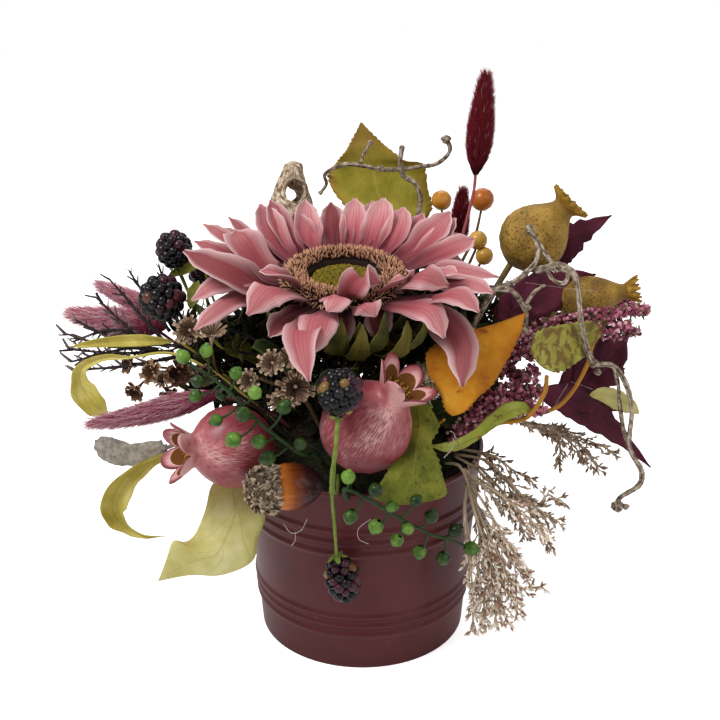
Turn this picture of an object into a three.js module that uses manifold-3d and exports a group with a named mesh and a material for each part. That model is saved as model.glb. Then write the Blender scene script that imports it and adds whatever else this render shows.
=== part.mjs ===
// A small autumn flower arrangement in a round painted tin bucket: one large artificial sunflower
// in front of pods, berries, leaves, twigs, plumes and dried grass, all picked into floral foam.
// Millimetres, +Z up. The origin is the centre of the bucket's base, and the front faces -Y.
import * as THREE from "three";
import { mergeVertices } from "three/addons/utils/BufferGeometryUtils.js";
import Module from "manifold-3d";

const wasm = await Module();
wasm.setup();

// Driving dimensions.
const GAP = 0.3; // clearance between pieces that touch
const BUCKET = { height: 112, baseRadius: 60, rimRadius: 68, wall: 0.6, baseSheet: 1.2, sides: 28 };
const RIBS = [22, 28, 34, 75, 82, 89]; // heights of the rolled beads
const RIB = { proud: 1.3, half: 2.4 };
const CURL = { radius: 1.4 }; // rolled upper edge
const FOAM = { shoulder: 104, shoulderRadius: 64, top: 138, sides: 20 };
const FLOWER = { centre: [-10, -20, 214], tilt: THREE.MathUtils.degToRad(9), discRadius: 31.5, hubRadius: 29.5 };
const PETAL = { width: 17, thick: 1.1, root: 28.5 };

const COLOURS = {
  tin: 0x5c2a31, foam: 0x2f3a26, moss: 0x2a2a1e, rose: 0xc07a80, bristle: 0x6b4530, disc: 0x7c7f34,
  calyx: 0x5e6432, leafGreen: 0x2e4426, pomegranate: 0xb5626c, cup: 0x6d5c48, nut: 0xa2561f, bramble: 0x1d1420,
  capsule: 0x3c7a3a, tail: 0x7c1024, plume: 0xb45a7c, pod: 0xa98a3c, star: 0x9a7a5c, maroon: 0x4e1526,
  twig: 0x83705c, yellow: 0xb0a04a, orange: 0xc8882c, olive: 0x8d8c3c, heather: 0x9a4a5c, dark: 0x3e2c30,
  straw: 0xb09070, bark: 0x9a9288, pale: 0xc4bc6c, stem: 0x5b7a3a, ochre: 0xa8782c,
};

const group = new THREE.Group();
const flowerHead = new THREE.Group();
flowerHead.position.set(...FLOWER.centre);
flowerHead.rotation.x = FLOWER.tilt;
group.add(flowerHead);

// ---- Working tools ----

const vector = (p) => new THREE.Vector3(...p);

// A closed geometry with only positions, as a solid.
function solid(geometry) {
  const bare = geometry.clone();
  bare.deleteAttribute("normal");
  bare.deleteAttribute("uv");
  const merged = mergeVertices(bare, 1e-4);
  const vertProperties = new Float32Array(merged.attributes.position.array);
  const triVerts = new Uint32Array(merged.index.array);
  return new wasm.Manifold(new wasm.Mesh({ numProp: 3, vertProperties, triVerts }));
}

const join = (solids) => solids.reduce((all, next) => all.add(next));

// Adds a solid to the model as a named mesh.
function place(name, body, color, roughness = 0.8, parent = group) {
  const made = body.getMesh();
  const geometry = new THREE.BufferGeometry();
  geometry.setAttribute("position", new THREE.BufferAttribute(new Float32Array(made.vertProperties), 3));
  geometry.setIndex(new THREE.BufferAttribute(new Uint32Array(made.triVerts), 1));
  geometry.computeVertexNormals();
  const mesh = new THREE.Mesh(geometry, new THREE.MeshStandardMaterial({ color, roughness, metalness: 0 }));
  mesh.name = name;
  parent.add(mesh);
}

// A profile of [radius, height] points turned about Z.
function turned(profile, sides) {
  const points = profile.map(([r, z]) => new THREE.Vector2(r, z));
  return new THREE.LatheGeometry(points, sides).rotateX(Math.PI / 2);
}

// A turned profile stood on a point, with its axis along a direction.
function turnedAlong(profile, sides, from, direction) {
  const turn = new THREE.Quaternion().setFromUnitVectors(new THREE.Vector3(0, 0, 1), vector(direction).normalize());
  return solid(turned(profile, sides).applyQuaternion(turn).translate(...from));
}

// A round rod along a smooth line through the points.
function rod(points, radius, sides = 4, steps = points.length) {
  const section = new THREE.Shape();
  for (let i = 0; i < sides; i++) {
    const angle = (i / sides) * 2 * Math.PI;
    const corner = [radius * Math.cos(angle), radius * Math.sin(angle)];
    if (i === 0) section.moveTo(...corner);
    else section.lineTo(...corner);
  }
  const extrudePath = new THREE.CatmullRomCurve3(points.map(vector), false, "centripetal");
  return solid(new THREE.ExtrudeGeometry(section, { steps, extrudePath, bevelEnabled: false }));
}

// A leaf or petal: a spine with a width at each station, a raised midrib and a keel below.
function blade(spine, widths, thick, up = [0, 0, 1]) {
  const curve = new THREE.CatmullRomCurve3(spine.map(vector), false, "centripetal");
  const last = widths.length - 1;
  const positions = [];
  const index = [];
  widths.forEach((width, i) => {
    const point = curve.getPoint(i / last);
    const tangent = curve.getTangent(i / last);
    const side = new THREE.Vector3().crossVectors(tangent, vector(up)).normalize();
    const normal = new THREE.Vector3().crossVectors(side, tangent).normalize();
    const corners = [[width / 2, 0], [0, thick / 2], [-width / 2, 0], [0, -thick / 2]];
    for (const [across, above] of corners) {
      positions.push(...point.clone().addScaledVector(side, across).addScaledVector(normal, above).toArray());
    }
    for (let k = 0; k < 4 && i < last; k++) {
      const a = i * 4 + k;
      const b = i * 4 + ((k + 1) % 4);
      index.push(a, b + 4, b, a, a + 4, b + 4);
    }
  });
  const end = last * 4;
  index.push(0, 1, 2, 0, 2, 3, end, end + 2, end + 1, end, end + 3, end + 2);
  const geometry = new THREE.BufferGeometry();
  geometry.setAttribute("position", new THREE.Float32BufferAttribute(positions, 3));
  geometry.setIndex(index);
  return solid(geometry);
}

// A round head, such as a berry.
function ball(centre, radius, detail = 0) {
  return solid(new THREE.IcosahedronGeometry(radius, detail).translate(...centre));
}

// A plume or a long berry: fat in the middle and narrow at both ends.
function spindle(from, to, radius, sides = 8, shape = [0.35, 0.8, 1, 0.85, 0.4]) {
  const along = vector(to).sub(vector(from));
  const length = along.length();
  const profile = [[0, 0]];
  shape.forEach((part, i) => profile.push([part * radius, (length * (i + 0.6)) / shape.length]));
  profile.push([0, length]);
  return turnedAlong(profile, sides, from, along.toArray());
}

// A stem that ends in the foam. Its hole is cut a little wider and deeper than the stem.
const holes = [];
function picked(points, radius, sides = 4, steps = points.length) {
  const [before, tip] = points.slice(-2).map(vector);
  const deeper = tip.clone().add(tip.clone().sub(before).normalize().multiplyScalar(2 * GAP));
  holes.push(rod([...points.slice(0, -1), deeper.toArray()], radius + 1.5 * GAP, sides, steps));
  return rod(points, radius, sides, steps);
}

// A twiggy spray: a stem, and side twigs given by their points.
const sprig = (stem, twigs, radius) => join([stem, ...twigs.map((points) => rod(points, radius, 4))]);

// ---- Bucket: one drawn tin wall with rolled beads, and a pressed base ----

function bucketRadius(z) {
  const { baseRadius, rimRadius, height } = BUCKET;
  return baseRadius + ((rimRadius - baseRadius) * z) / height;
}

function bucketWall() {
  const { height, wall } = BUCKET;
  const outside = [[bucketRadius(0), 0]];
  for (const z of RIBS) {
    outside.push([bucketRadius(z - RIB.half), z - RIB.half]);
    outside.push([bucketRadius(z) + RIB.proud, z]);
    outside.push([bucketRadius(z + RIB.half), z + RIB.half]);
  }
  const edge = bucketRadius(height);
  const rim = [[edge, height - CURL.radius], [edge + CURL.radius, height], [edge, height + CURL.radius]];
  const inside = [[edge - wall, height], [bucketRadius(0) - wall, 0]];
  const profile = [...outside, ...rim, ...inside];
  return solid(turned([...profile, profile[0]], BUCKET.sides));
}
place("bucket_wall", bucketWall(), COLOURS.tin, 0.45);

const baseEdge = bucketRadius(0) - BUCKET.wall - GAP;
const baseProfile = [[0, 0], [baseEdge, 0], [baseEdge, BUCKET.baseSheet], [0, BUCKET.baseSheet]];
place("bucket_base", solid(turned(baseProfile, BUCKET.sides)), COLOURS.tin, 0.45);

// ---- Sunflower: foam disc with a bristle ring, three cloth petal whorls, cup of sepals, wire stem ----

// Petals of one whorl on a thin hub disc, spread evenly round the flower.
function whorl(hubHeight, count, turn, length, rise, droop) {
  const { width, thick, root } = PETAL;
  const { hubRadius } = FLOWER;
  const petals = [];
  for (let i = 0; i < count; i++) {
    const angle = turn + (i * 2 * Math.PI) / count;
    const front = Math.max(0, -Math.sin(angle));
    const slope = Math.tan(rise * (1 - 0.45 * front));
    const reach = [root, root + (length - root) * 0.5, length - 2 * droop * front];
    const heights = [0, (reach[1] - root) * slope, (reach[2] - root) * slope - droop * front];
    const spine = reach.map((r, k) => [r * Math.cos(angle), r * Math.sin(angle), hubHeight + heights[k]]);
    petals.push(blade(spine, [0.5 * width, 0.95 * width, width, 0.15 * width], thick));
  }
  const half = thick / 2;
  const hub = [[0, hubHeight - half], [hubRadius, hubHeight - half], [hubRadius, hubHeight + half], [0, hubHeight + half]];
  return join([solid(turned(hub, 16)), ...petals]);
}
const step = PETAL.thick + GAP;
place("sunflower_petals_upper", whorl(-step, 10, 0.31, 71, 0.4, 0), COLOURS.rose, 0.7, flowerHead);
place("sunflower_petals_middle", whorl(-2 * step, 10, 0.63, 79, 0.24, 9), COLOURS.rose, 0.7, flowerHead);
place("sunflower_petals_lower", whorl(-3 * step, 11, 0.1, 84, 0.07, 22), COLOURS.rose, 0.7, flowerHead);

const ringEdge = FLOWER.discRadius;
const ringProfile = [[18, 0], [26, 0], [ringEdge, 5.5], [ringEdge - 2, 9], [24, 11], [18, 8.5], [18, 0]];
place("sunflower_bristle_ring", solid(turned(ringProfile, 20)), COLOURS.bristle, 0.95, flowerHead);
const centreProfile = [[0, 0], [17.3, 0], [17.3, 5], [12, 7], [0, 5.5]];
place("sunflower_centre", solid(turned(centreProfile, 16)), COLOURS.disc, 0.9, flowerHead);

// The cup narrows to a socket that takes the stem.
const STEM_RADIUS = 2.2;
const SEPALS = 10;
const calyxTop = -3.5 * step - GAP;
const calyxFoot = calyxTop - 20;
function calyx() {
  const socket = STEM_RADIUS + GAP;
  const cup = [[0, calyxFoot + 8], [socket, calyxFoot + 8], [socket, calyxFoot], [7, calyxFoot], [15, calyxFoot + 8],
    [21, calyxTop], [0, calyxTop]];
  const sepals = [];
  for (let i = 0; i < SEPALS; i++) {
    const angle = (i * 2 * Math.PI) / SEPALS + 0.2;
    const spine = [[12, calyxFoot + 8], [30, calyxTop - 5], [46, calyxTop - 6.5]];
    const line = spine.map(([r, z]) => [r * Math.cos(angle), r * Math.sin(angle), z]);
    sepals.push(blade(line, [7, 13, 1.5], 1));
  }
  return join([solid(turned(cup, 16)), ...sepals]);
}
place("sunflower_calyx", calyx(), COLOURS.calyx, 0.75, flowerHead);

const toWorld = new THREE.Matrix4().makeRotationX(FLOWER.tilt).setPosition(...FLOWER.centre);
const stemTop = new THREE.Vector3(0, 0, calyxFoot + 8 - GAP).applyMatrix4(toWorld).toArray();
const stemBelow = new THREE.Vector3(0, 0, calyxFoot - 6).applyMatrix4(toWorld).toArray();
place("sunflower_stem", picked([stemTop, stemBelow, [-7, -10, 150], [-5, -6, 112]], STEM_RADIUS, 8), COLOURS.stem);

// ---- Pomegranates: moulded fruits, each on a wooden pick ----

const FRUIT_RADIUS = 22;
function pomegranate(centre, axis, size, stem) {
  const r = FRUIT_RADIUS * size;
  const profile = [[0, -r], [0.5 * r, -0.87 * r], [0.87 * r, -0.5 * r], [r, 0], [0.87 * r, 0.5 * r], [0.5 * r, 0.87 * r],
    [0.42 * r, 1.08 * r], [0.55 * r, 1.35 * r], [0.72 * r, 1.7 * r], [0.36 * r, 1.3 * r], [0, 1.2 * r]];
  return join([turnedAlong(profile, 14, centre, axis), picked(stem, 1.5)]);
}
place("pomegranate_right", pomegranate([1.6, -72, 150], [0.42, -0.1, 0.9], 1.02,
  [[0, -68, 135], [0.5, -58, 124], [2, -38, 108]]), COLOURS.pomegranate, 0.4);
place("pomegranate_left", pomegranate([-67.3, -60, 136.7], [-0.97, -0.2, 0.08], 0.97,
  [[-58, -53, 133], [-50, -42, 128], [-38, -28, 118]]), COLOURS.pomegranate, 0.4);

// ---- Acorn: a nut seated in its scaly cup, which is on a wire pick ----

const ACORN = { from: [-57.5, -92, 127.5], axis: [0.95, 0.3, -0.04] };
const cupProfile = [[0, 0], [7, 1], [11, 5], [12.2, 11], [11.4, 15], [10.2, 15], [9.5, 8], [0, 6.5]];
const acornCup = join([turnedAlong(cupProfile, 16, ACORN.from, ACORN.axis),
  picked([[-54, -82, 124], [-49, -68, 121], [-34, -42, 117]], 0.9)]);
const nutProfile = [[0, 6.8], [9.2, 8.3], [9.9, 15], [11.6, 17], [11.8, 24], [9.5, 32], [4.5, 38], [0, 41]];
place("acorn_nut", turnedAlong(nutProfile, 16, ACORN.from, ACORN.axis), COLOURS.nut, 0.25);
place("acorn_cup", acornCup, COLOURS.cup, 0.95);

// ---- Berries ----

const frontBerries = join([
  ball([-10.9, -96, 182.3], 10.4, 1),
  spindle([-13.6, -79.5, 83], [-7.5, -78.5, 55], 9.8, 10),
  rod([[-11.3, -97, 178], [-11.8, -101, 172], [-12.8, -106, 159], [-14.3, -104, 145], [-15.1, -98, 130]], 1.6, 6),
  rod([[-15.1, -98, 131], [-15, -92, 119], [-14.5, -86, 107], [-13.4, -80, 81]], 0.8, 5),
  picked([[-15.1, -98.4, 131], [-13, -80, 121], [-13, -46, 117]], 0.9),
]);
place("bramble_spray_front", frontBerries, COLOURS.bramble, 0.35);

const sideBerries = join([
  ball([-102.5, 5, 224], 10, 1), ball([-107, -15, 203], 12.6, 1), ball([-89, 20, 206], 9, 1),
  rod([[-102, 5, 216], [-92, 6, 190], [-80, 6, 172]], 1), rod([[-104, -12, 195], [-92, -2, 184], [-80, 6, 172]], 1),
  rod([[-89, 20, 200], [-86, 14, 186], [-80, 6, 172]], 1),
  picked([[-82, 6, 176], [-62, 6, 150], [-36, 7, 118]], 1.1),
]);
place("bramble_spray_left", sideBerries, COLOURS.bramble, 0.35);

const hangingBerries = [
  [[46, 58, 239], 5.6], [[70, 60, 239], 6.3], [[68, 58, 215], 5.4], [[72, 56, 206], 5],
];
const orangeBerries = join([
  ...hangingBerries.map(([centre, radius]) => ball(centre, radius, 1)),
  rod([[70, 60, 235], [60, 56, 205], [36, 42, 160]], 1), rod([[46, 58, 236], [50, 56, 205], [36, 42, 160]], 1),
  rod([[72, 56, 206], [62, 54, 190], [36, 42, 160]], 0.9), rod([[68, 58, 212], [60, 56, 195], [36, 42, 160]], 0.9),
  picked([[37, 43, 163], [30, 36, 142], [22, 26, 118]], 1.2),
]);
place("orange_berry_spray", orangeBerries, COLOURS.orange, 0.3);

// Capsule berries stand on short stalks along each wiry stem.
function capsuleSpray(stem, berries) {
  const parts = [picked(stem, 0.8, 4, stem.length + 4)];
  for (const [berry, along] of berries) {
    parts.push(ball(berry, 3.3), rod([along, berry], 0.6, 3, 1));
  }
  return join(parts);
}
const leftStem = [[-82, -98, 198], [-65, -102, 187], [-48, -100, 167], [-32, -90, 148], [-28, -76, 140],
  [-25, -62, 133], [-20, -42, 117]];
const leftBerries = [
  [[-84, -98, 201], [-80, -98.5, 197]], [[-73, -98, 204], [-72, -101, 192]], [[-77, -104, 191], [-69, -101.5, 190]],
  [[-67, -96, 181], [-62, -102, 184]], [[-59, -104, 195], [-63, -102, 185]], [[-50, -108, 187], [-57, -101.5, 178]],
  [[-79, -100, 182], [-67, -102, 188.5]], [[-69, -106, 172], [-58, -101.5, 179]],
  [[-56, -108, 176], [-51, -101, 171]], [[-37, -104, 178], [-45, -99.5, 164]], [[-61, -108, 163], [-50, -100.5, 169]],
  [[-49, -108, 162], [-42, -97, 160]], [[-46, -101, 150], [-36, -94, 153]], [[-30, -100, 157], [-33, -92, 150]],
];
place("capsule_spray_left", capsuleSpray(leftStem, leftBerries), COLOURS.capsule, 0.35);

const rightStem = [[54.4, -80, 89], [42, -86, 97.6], [34, -89, 101.7], [21.5, -96, 112.4], [12.4, -101, 121],
  [-1.4, -106, 132.7], [-9, -104, 135], [-8, -94, 124], [-7, -80, 119], [-6, -46, 113.5]];
const rightBerries = [
  [[-7, -110, 144], [-8.5, -104, 133.5]], [[-6, -108, 122], [0, -105.5, 131.5]], [[6, -110, 137], [1, -105, 131]],
  [[6.5, -98, 111], [13, -100.5, 120]], [[17, -94, 101], [20, -96.5, 114]], [[14, -107, 127], [8, -103, 125]],
  [[26, -99, 126], [18, -98, 115.5]], [[22, -104, 113], [21, -96.5, 113]], [[34, -95, 115], [28, -92.5, 107]],
  [[29, -87, 90], [33, -89.5, 102.5]], [[41.5, -83, 84], [42, -86, 97.6]], [[47, -88, 103], [42, -86, 98]],
  [[56, -80, 88], [53, -80.5, 90]],
];
place("capsule_spray_right", capsuleSpray(rightStem, rightBerries), COLOURS.capsule, 0.35);

// ---- Poppy pods with flat crowns, and the small star-shaped crowns ----

const podShape = [[0, 0], [0.5, 0.04], [0.86, 0.2], [1, 0.42], [0.9, 0.62], [0.55, 0.78], [0.36, 0.84],
  [0.62, 0.93], [0.62, 0.97], [0, 1]];
const pod = (from, axis, length, radius) =>
  turnedAlong(podShape.map(([r, z]) => [r * radius, z * length]), 14, from, axis);
place("poppy_pod_large", join([pod([83, 30, 209], [33, 0, 36], 50, 19),
  picked([[86, 30, 212], [74, 28, 190], [50, 20, 140], [42, 17, 118]], 1.6)]), COLOURS.pod, 0.85);
place("poppy_pod_small", join([pod([108, 12, 191], [42, -6, 10], 44, 12),
  picked([[111, 12, 192], [96, 11, 172], [60, 8, 134], [46, 6, 118]], 1.3)]), COLOURS.pod, 0.85);

// Each crown is a shallow cup on a thin stalk, facing the given way.
const crownShape = [[0, 0], [0.3, 0.1], [1, 0.9], [0.95, 1.1], [0, 0.85]];
function crowns(list, hub, root) {
  const parts = [picked(root, 1.1)];
  for (const [from, facing, radius] of list) {
    parts.push(turnedAlong(crownShape.map(([r, z]) => [r * radius, z * radius]), 6, from, facing));
    const seat = vector(facing).normalize().multiplyScalar(1.2).add(vector(from)).toArray();
    const behind = vector(from).sub(vector(facing).normalize().multiplyScalar(6));
    parts.push(rod([seat, behind.toArray(), hub], 0.8, 3, 3));
  }
  return join(parts);
}
place("star_crown_spray_left", crowns([
  [[-92, -24, 188], [-0.1, -0.9, 0.4], 8], [[-115, -14, 158], [-0.3, -0.9, 0.3], 6.5],
  [[-128, -10, 160], [-0.5, -0.8, 0.3], 6], [[-99, -24, 162], [0, -1, 0.1], 6.5],
  [[-124, -18, 146], [-0.4, -0.8, -0.3], 7], [[-79, -32, 188], [0.1, -0.2, 1], 7.5],
], [-78, -18, 160], [[-81, -18, 161], [-60, -17, 143], [-40, -14, 119]]), COLOURS.star, 0.95);
place("star_crown_spray_front", crowns([
  [[-44, -80, 191], [-0.3, -0.9, 0.4], 7], [[-33, -79, 178], [0.1, -1, 0.2], 8.5],
  [[-55, -78, 181], [-0.5, -0.8, 0.2], 6.5], [[-36, -72, 190], [0, -0.8, 0.6], 6.5],
], [-30, -52, 160], [[-30.5, -53, 162], [-24, -38, 140], [-18, -26, 118]]), COLOURS.star, 0.95);

// ---- Plumes: soft dyed grass heads on thin stems ----

place("red_tail_tall", join([spindle([64, 45, 256], [68, 45, 316], 8, 8),
  picked([[64, 45, 262], [62, 45, 240], [46, 36, 180], [28, 20, 118]], 0.9)]), COLOURS.tail, 1);
place("red_tail_short", join([spindle([57, 74, 205], [60, 74, 245], 5.5, 8),
  picked([[57.5, 74, 210], [52, 66, 185], [30, 42, 140], [16, 30, 118]], 0.8)]), COLOURS.tail, 1);
place("pink_plume_upper", join([spindle([-112, 14, 186], [-153, 30, 198], 6, 8),
  picked([[-116, 15, 187.5], [-94, 16, 172], [-62, 16, 146], [-34, 15, 118]], 0.8)]), COLOURS.plume, 1);
place("pink_plume_middle", join([spindle([-112, 2, 179], [-170, 17, 179], 9, 8),
  picked([[-117, 3.2, 179], [-96, 3, 164], [-66, 1, 140], [-38, 0, 119]], 0.8)]), COLOURS.plume, 1);
place("pink_plume_lower", join([spindle([-76, -46, 161], [-145, -54, 146], 7, 8),
  picked([[-82, -46.5, 160], [-66, -40, 154], [-46, -26, 138], [-32, -18, 119]], 0.8)]), COLOURS.plume, 1);

// ---- Leaves ----

// A leaf on its stalk. The widths run from the stalk to the tip, and the stalk runs on inside its foot.
function leaf(lobes, thick, up, stalk, stalkRadius = 1) {
  const spine = new THREE.CatmullRomCurve3(lobes[0][0].map(vector), false, "centripetal");
  const route = [spine.getPoint(0.12).toArray(), lobes[0][0][0], ...stalk];
  return join([...lobes.map(([line, widths]) => blade(line, widths, thick, up)), picked(route, stalkRadius)]);
}
const FRONT = [0, -1, 0.25];

place("orange_leaf_right", leaf([[[[43, -60, 153], [59, -57, 176], [84, -46, 200]], [4, 38, 44, 22, 2]]], 1.4, FRONT,
  [[39, -46, 142], [33, -24, 119]]), COLOURS.orange, 0.75);
place("olive_leaf_right", leaf([[[[97, -36, 171], [108, -32, 182], [128, -24, 192]], [5, 26, 22, 14, 2]]], 1.2, FRONT,
  [[96, -38, 157], [87, -38, 143], [70, -34, 137], [46, -24, 120]]), COLOURS.olive, 0.75);
const ochreStalk = [[124, -16, 176], [113, -22, 150], [101, -24, 141], [76, -20, 137], [44, -12, 118]];
place("ochre_stalk_right", picked(ochreStalk, 1), COLOURS.ochre);
place("twisted_leaf_right", leaf([[[[34, -69, 142], [58, -60, 141], [75, -52, 152], [89, -46, 152]], [3, 10, 9, 11, 2]]],
  1, [0, -0.6, 0.8], [[34, -58, 132], [30, -44, 118]]), COLOURS.olive, 0.75);
place("serrated_leaf_front", leaf([
  [[[36, -62, 161], [32, -80, 144], [41, -87, 120]], [4, 14, 20, 14, 2]],
  [[[32, -80, 144], [21, -92, 133], [4, -94, 119]], [10, 20, 14, 2]],
], 1.4, FRONT, [[28, -46, 140], [20, -34, 119]]), COLOURS.stem, 0.75);

place("maroon_leaf_upper", leaf([
  [[[103, 46, 210], [122, 48, 220], [143, 50, 231]], [4, 20, 16, 2]],
  [[[108, 46.4, 212], [112, 47, 220], [115, 48, 228]], [8, 12, 2]],
], 1.4, FRONT, [[84, 39, 176], [44, 22, 118]]), COLOURS.maroon, 0.7);
place("maroon_leaf_middle", leaf([
  [[[74, -6, 191], [104, -5, 200], [137, -4, 206]], [4, 22, 18, 2]],
  [[[84, -6, 194], [92, -6, 205], [99, -5, 212]], [8, 10, 2]],
  [[[84, -6, 194], [90, -6, 189], [97, -6, 186]], [8, 10, 2]],
], 1.4, FRONT, [[60, -3, 160], [42, 2, 119]]), COLOURS.maroon, 0.7);
place("maroon_leaf_right", leaf([
  [[[124, 26, 133], [140, 28, 150], [153, 30, 163]], [4, 24, 2]],
  [[[130, 26.8, 139], [136, 28, 150], [140, 28, 166]], [8, 10, 2]],
], 1.4, FRONT, [[90, 20, 134], [46, 12, 118]]), COLOURS.maroon, 0.7);
place("maroon_leaf_lower", leaf([
  [[[108, 5, 137], [136, 6, 122], [166, 0, 96]], [5, 16, 16, 2]],
  [[[122, 5.8, 131], [132, 7, 132], [146, 6, 128]], [8, 9, 2]],
], 1.4, FRONT, [[84, 4, 132], [46, 0, 116]]), COLOURS.maroon, 0.7);
place("yellow_leaf_back", leaf([
  [[[10, 76, 226], [6, 78, 252], [-1, 78, 283]], [16, 36, 30, 12, 2]],
  [[[12, 76.5, 234], [26, 77, 246], [35, 76, 255]], [12, 18, 2]],
], 1.2, [0, -1, 0.1], [[8, 60, 190], [4, 34, 118]], 1.1), COLOURS.yellow, 0.75);

// Dark green leaves fill in under the flower and round the back.
const FILLERS = [
  ["green_leaf_front", [[-15, -50, 158], [-12, -66, 178], [-10, -76, 186]], [4, 26, 2], [-6, -34, 118]],
  ["green_leaf_right", [[24, -28, 158], [42, -28, 176], [58, -28, 187]], [4, 22, 2], [12, -20, 119]],
  ["green_leaf_back", [[-14, 50, 150], [-24, 76, 172], [-32, 92, 180]], [5, 34, 30, 2], [-10, 22, 119]],
  ["green_leaf_back_left", [[-48, 40, 148], [-76, 58, 162], [-98, 70, 162]], [5, 32, 28, 2], [-26, 28, 117]],
  ["green_leaf_back_right", [[34, 62, 146], [56, 82, 158], [74, 96, 156]], [5, 34, 28, 2], [8, 42, 116]],
];
for (const [name, spine, widths, foot] of FILLERS) {
  place(name, leaf([[spine, widths]], 1.2, [0, 0, 1], [foot], 1.1), COLOURS.leafGreen, 0.75);
}

// ---- Dried leaves that hang over the left side ----

place("dried_leaf_curled", leaf([[[[-96, -36, 123], [-118, -42, 117], [-134, -44, 104], [-137, -44, 94],
  [-126, -46, 80], [-108, -48, 76]], [4, 7, 9, 12, 11, 8, 2]]], 1, [0, -1, 0],
[[-76, -28, 122], [-42, -15, 114]]), COLOURS.pale, 0.85);
place("dried_leaf_long", leaf([[[[-102, -16, 181], [-134, -14, 180], [-158, -12, 176]], [3, 7, 8, 2]]], 0.8,
  [0, -1, 0.2], [[-84, -12, 165], [-62, -11, 143], [-40, -10, 115]], 0.8), COLOURS.pale, 0.85);
place("dried_leaf_drooping", leaf([[[[-128, -22, 171], [-146, -20, 166], [-153, -21, 158], [-148, -22, 146],
  [-139, -22, 137]], [3, 8, 12, 11, 2]]], 0.8, [0, -1, 0],
[[-100, -26, 175], [-72, -25, 158], [-36, -22, 121]], 0.8), COLOURS.pale, 0.85);
place("dried_leaf_folded", leaf([[[[-57, -54, 113], [-67, -68, 107], [-76, -78, 95], [-84, -81, 82],
  [-107, -80, 69]], [5, 20, 38, 40, 26, 4]]], 1.4, [-0.5, -0.8, 0.4],
[[-50, -46, 117.5], [-42, -35, 112]], 1.2), COLOURS.pale, 0.85);

// ---- Twigs ----

const curlyTwig = join([
  rod([[87, -22, 187], [86, -22, 198], [78, -25, 210], [67, -25, 211]], 1.4, 4, 6),
  rod([[85.5, -22.3, 200], [91, -18, 207], [97, -14, 210]], 1.2, 4, 3),
  rod([[67, -25, 211], [84, -19, 216], [94, -13, 219], [100, -12, 223], [90, -8, 238]], 1.7, 4, 8),
  rod([[91, -15, 218], [104, -12, 219], [113, -12, 213], [116, -14, 201], [119, -14, 183], [126, -14, 166],
    [137, -12, 164], [145, -12, 153], [150, -12, 137], [150, -14, 115], [158, -14, 100], [157, -15, 91],
    [147, -16, 84], [146, -16, 78]], 1.7, 4, 24),
  rod([[138, -12, 163.5], [143, -9, 150], [147, -8, 124], [150, -13, 113]], 1.1, 4, 5),
  ball([146, -16, 78], 3.2),
  picked([[69, -24.6, 211.3], [58, -20, 186], [46, -14, 146], [40, -10, 121]], 1.7),
]);
place("curly_twig_right", curlyTwig, COLOURS.twig, 0.95);

const topTwig = join([
  rod([[-24, 62, 244], [-17, 63, 256], [-2, 65, 260], [10, 66, 256], [22, 66, 256], [33, 66, 258], [42, 65, 260],
    [47, 63, 266], [50, 62, 272], [47, 62, 278]], 1.5, 4, 15),
  rod([[-1, 65, 259.5], [1, 66, 265], [5, 67, 271]], 1, 4, 2),
  rod([[23, 66, 268], [23, 66, 252], [30, 66, 248], [34, 66, 237]], 1.2, 4, 5),
  ball([47, 62, 278], 2.8),
  picked([[21.5, 66, 257], [16, 62, 220], [8, 44, 160], [2, 16, 119]], 1.4),
]);
place("curly_twig_top", topTwig, COLOURS.twig, 0.95);

// ---- Bark and lichen pieces ----

const BARK_THICK = 11;
place("bark_back_left", leaf([[[[-43, 60, 236], [-43, 62, 250], [-40, 62, 262]], [24, 20, 2]]], BARK_THICK, [0, -1, 0],
  [[-30, 44, 180], [-14, 18, 118]], 1.3), COLOURS.bark, 0.95);
place("bark_left", leaf([[[[-112, -26, 117], [-130, -20, 112], [-149, -16, 116]], [8, 16, 7]]], BARK_THICK, [0, 0, 1],
  [[-80, -8, 122], [-44, 2, 114]], 1.3), COLOURS.bark, 0.95);
place("bark_right", join([ball([33, -46, 170], 7.5, 1), picked([[33, -44, 168], [30, -30, 142], [24, -16, 119]], 1.2)]),
  COLOURS.bark, 0.95);

// ---- Heather: fine twigs with tiny florets ----

place("heather_pink_upper", sprig(picked([[165, 28, 181], [134, 26, 182], [106, 26, 178], [72, 20, 156],
  [46, 17, 120]], 1.8), [
  [[114, 26, 179], [128, 20, 174], [142, 18, 170], [156, 18, 171]], [[126, 26, 181], [138, 30, 186], [152, 32, 187]],
], 1.5), COLOURS.heather, 0.95);
place("heather_pink_middle", sprig(picked([[94, -10, 184], [84, -14, 176], [72, -16, 162], [46, -6, 120]], 2), [
  [[82, -14.5, 174], [90, -18, 172], [98, -18, 178]], [[76, -15, 167], [82, -22, 160], [88, -24, 162]],
], 1.8), COLOURS.heather, 0.95);
place("heather_pink_lower", sprig(picked([[97, -27, 154], [82, -32, 151], [66, -33, 144], [45, -18, 121]], 1.8), [
  [[80, -32, 150.5], [88, -30, 160], [92, -28, 168]], [[76, -32, 149.5], [86, -40, 150], [96, -42, 148]],
], 1.6), COLOURS.heather, 0.95);

place("heather_dark_left", sprig(
  picked([[-161, -6, 163], [-132, -8, 171], [-100, -7, 172], [-70, -6, 150], [-38, -5, 117]], 1.1), [
    [[-106, -7.5, 172], [-125, -9, 182], [-144, -8, 201]],
    [[-116, -8, 172], [-138, -8, 178], [-156, -8, 188]],
    [[-99, -7.5, 169.5], [-103, 0, 190], [-112, 10, 212]],
  ], 1), COLOURS.dark, 0.95);

// ---- Dried grass heads that hang over the right side ----

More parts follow.
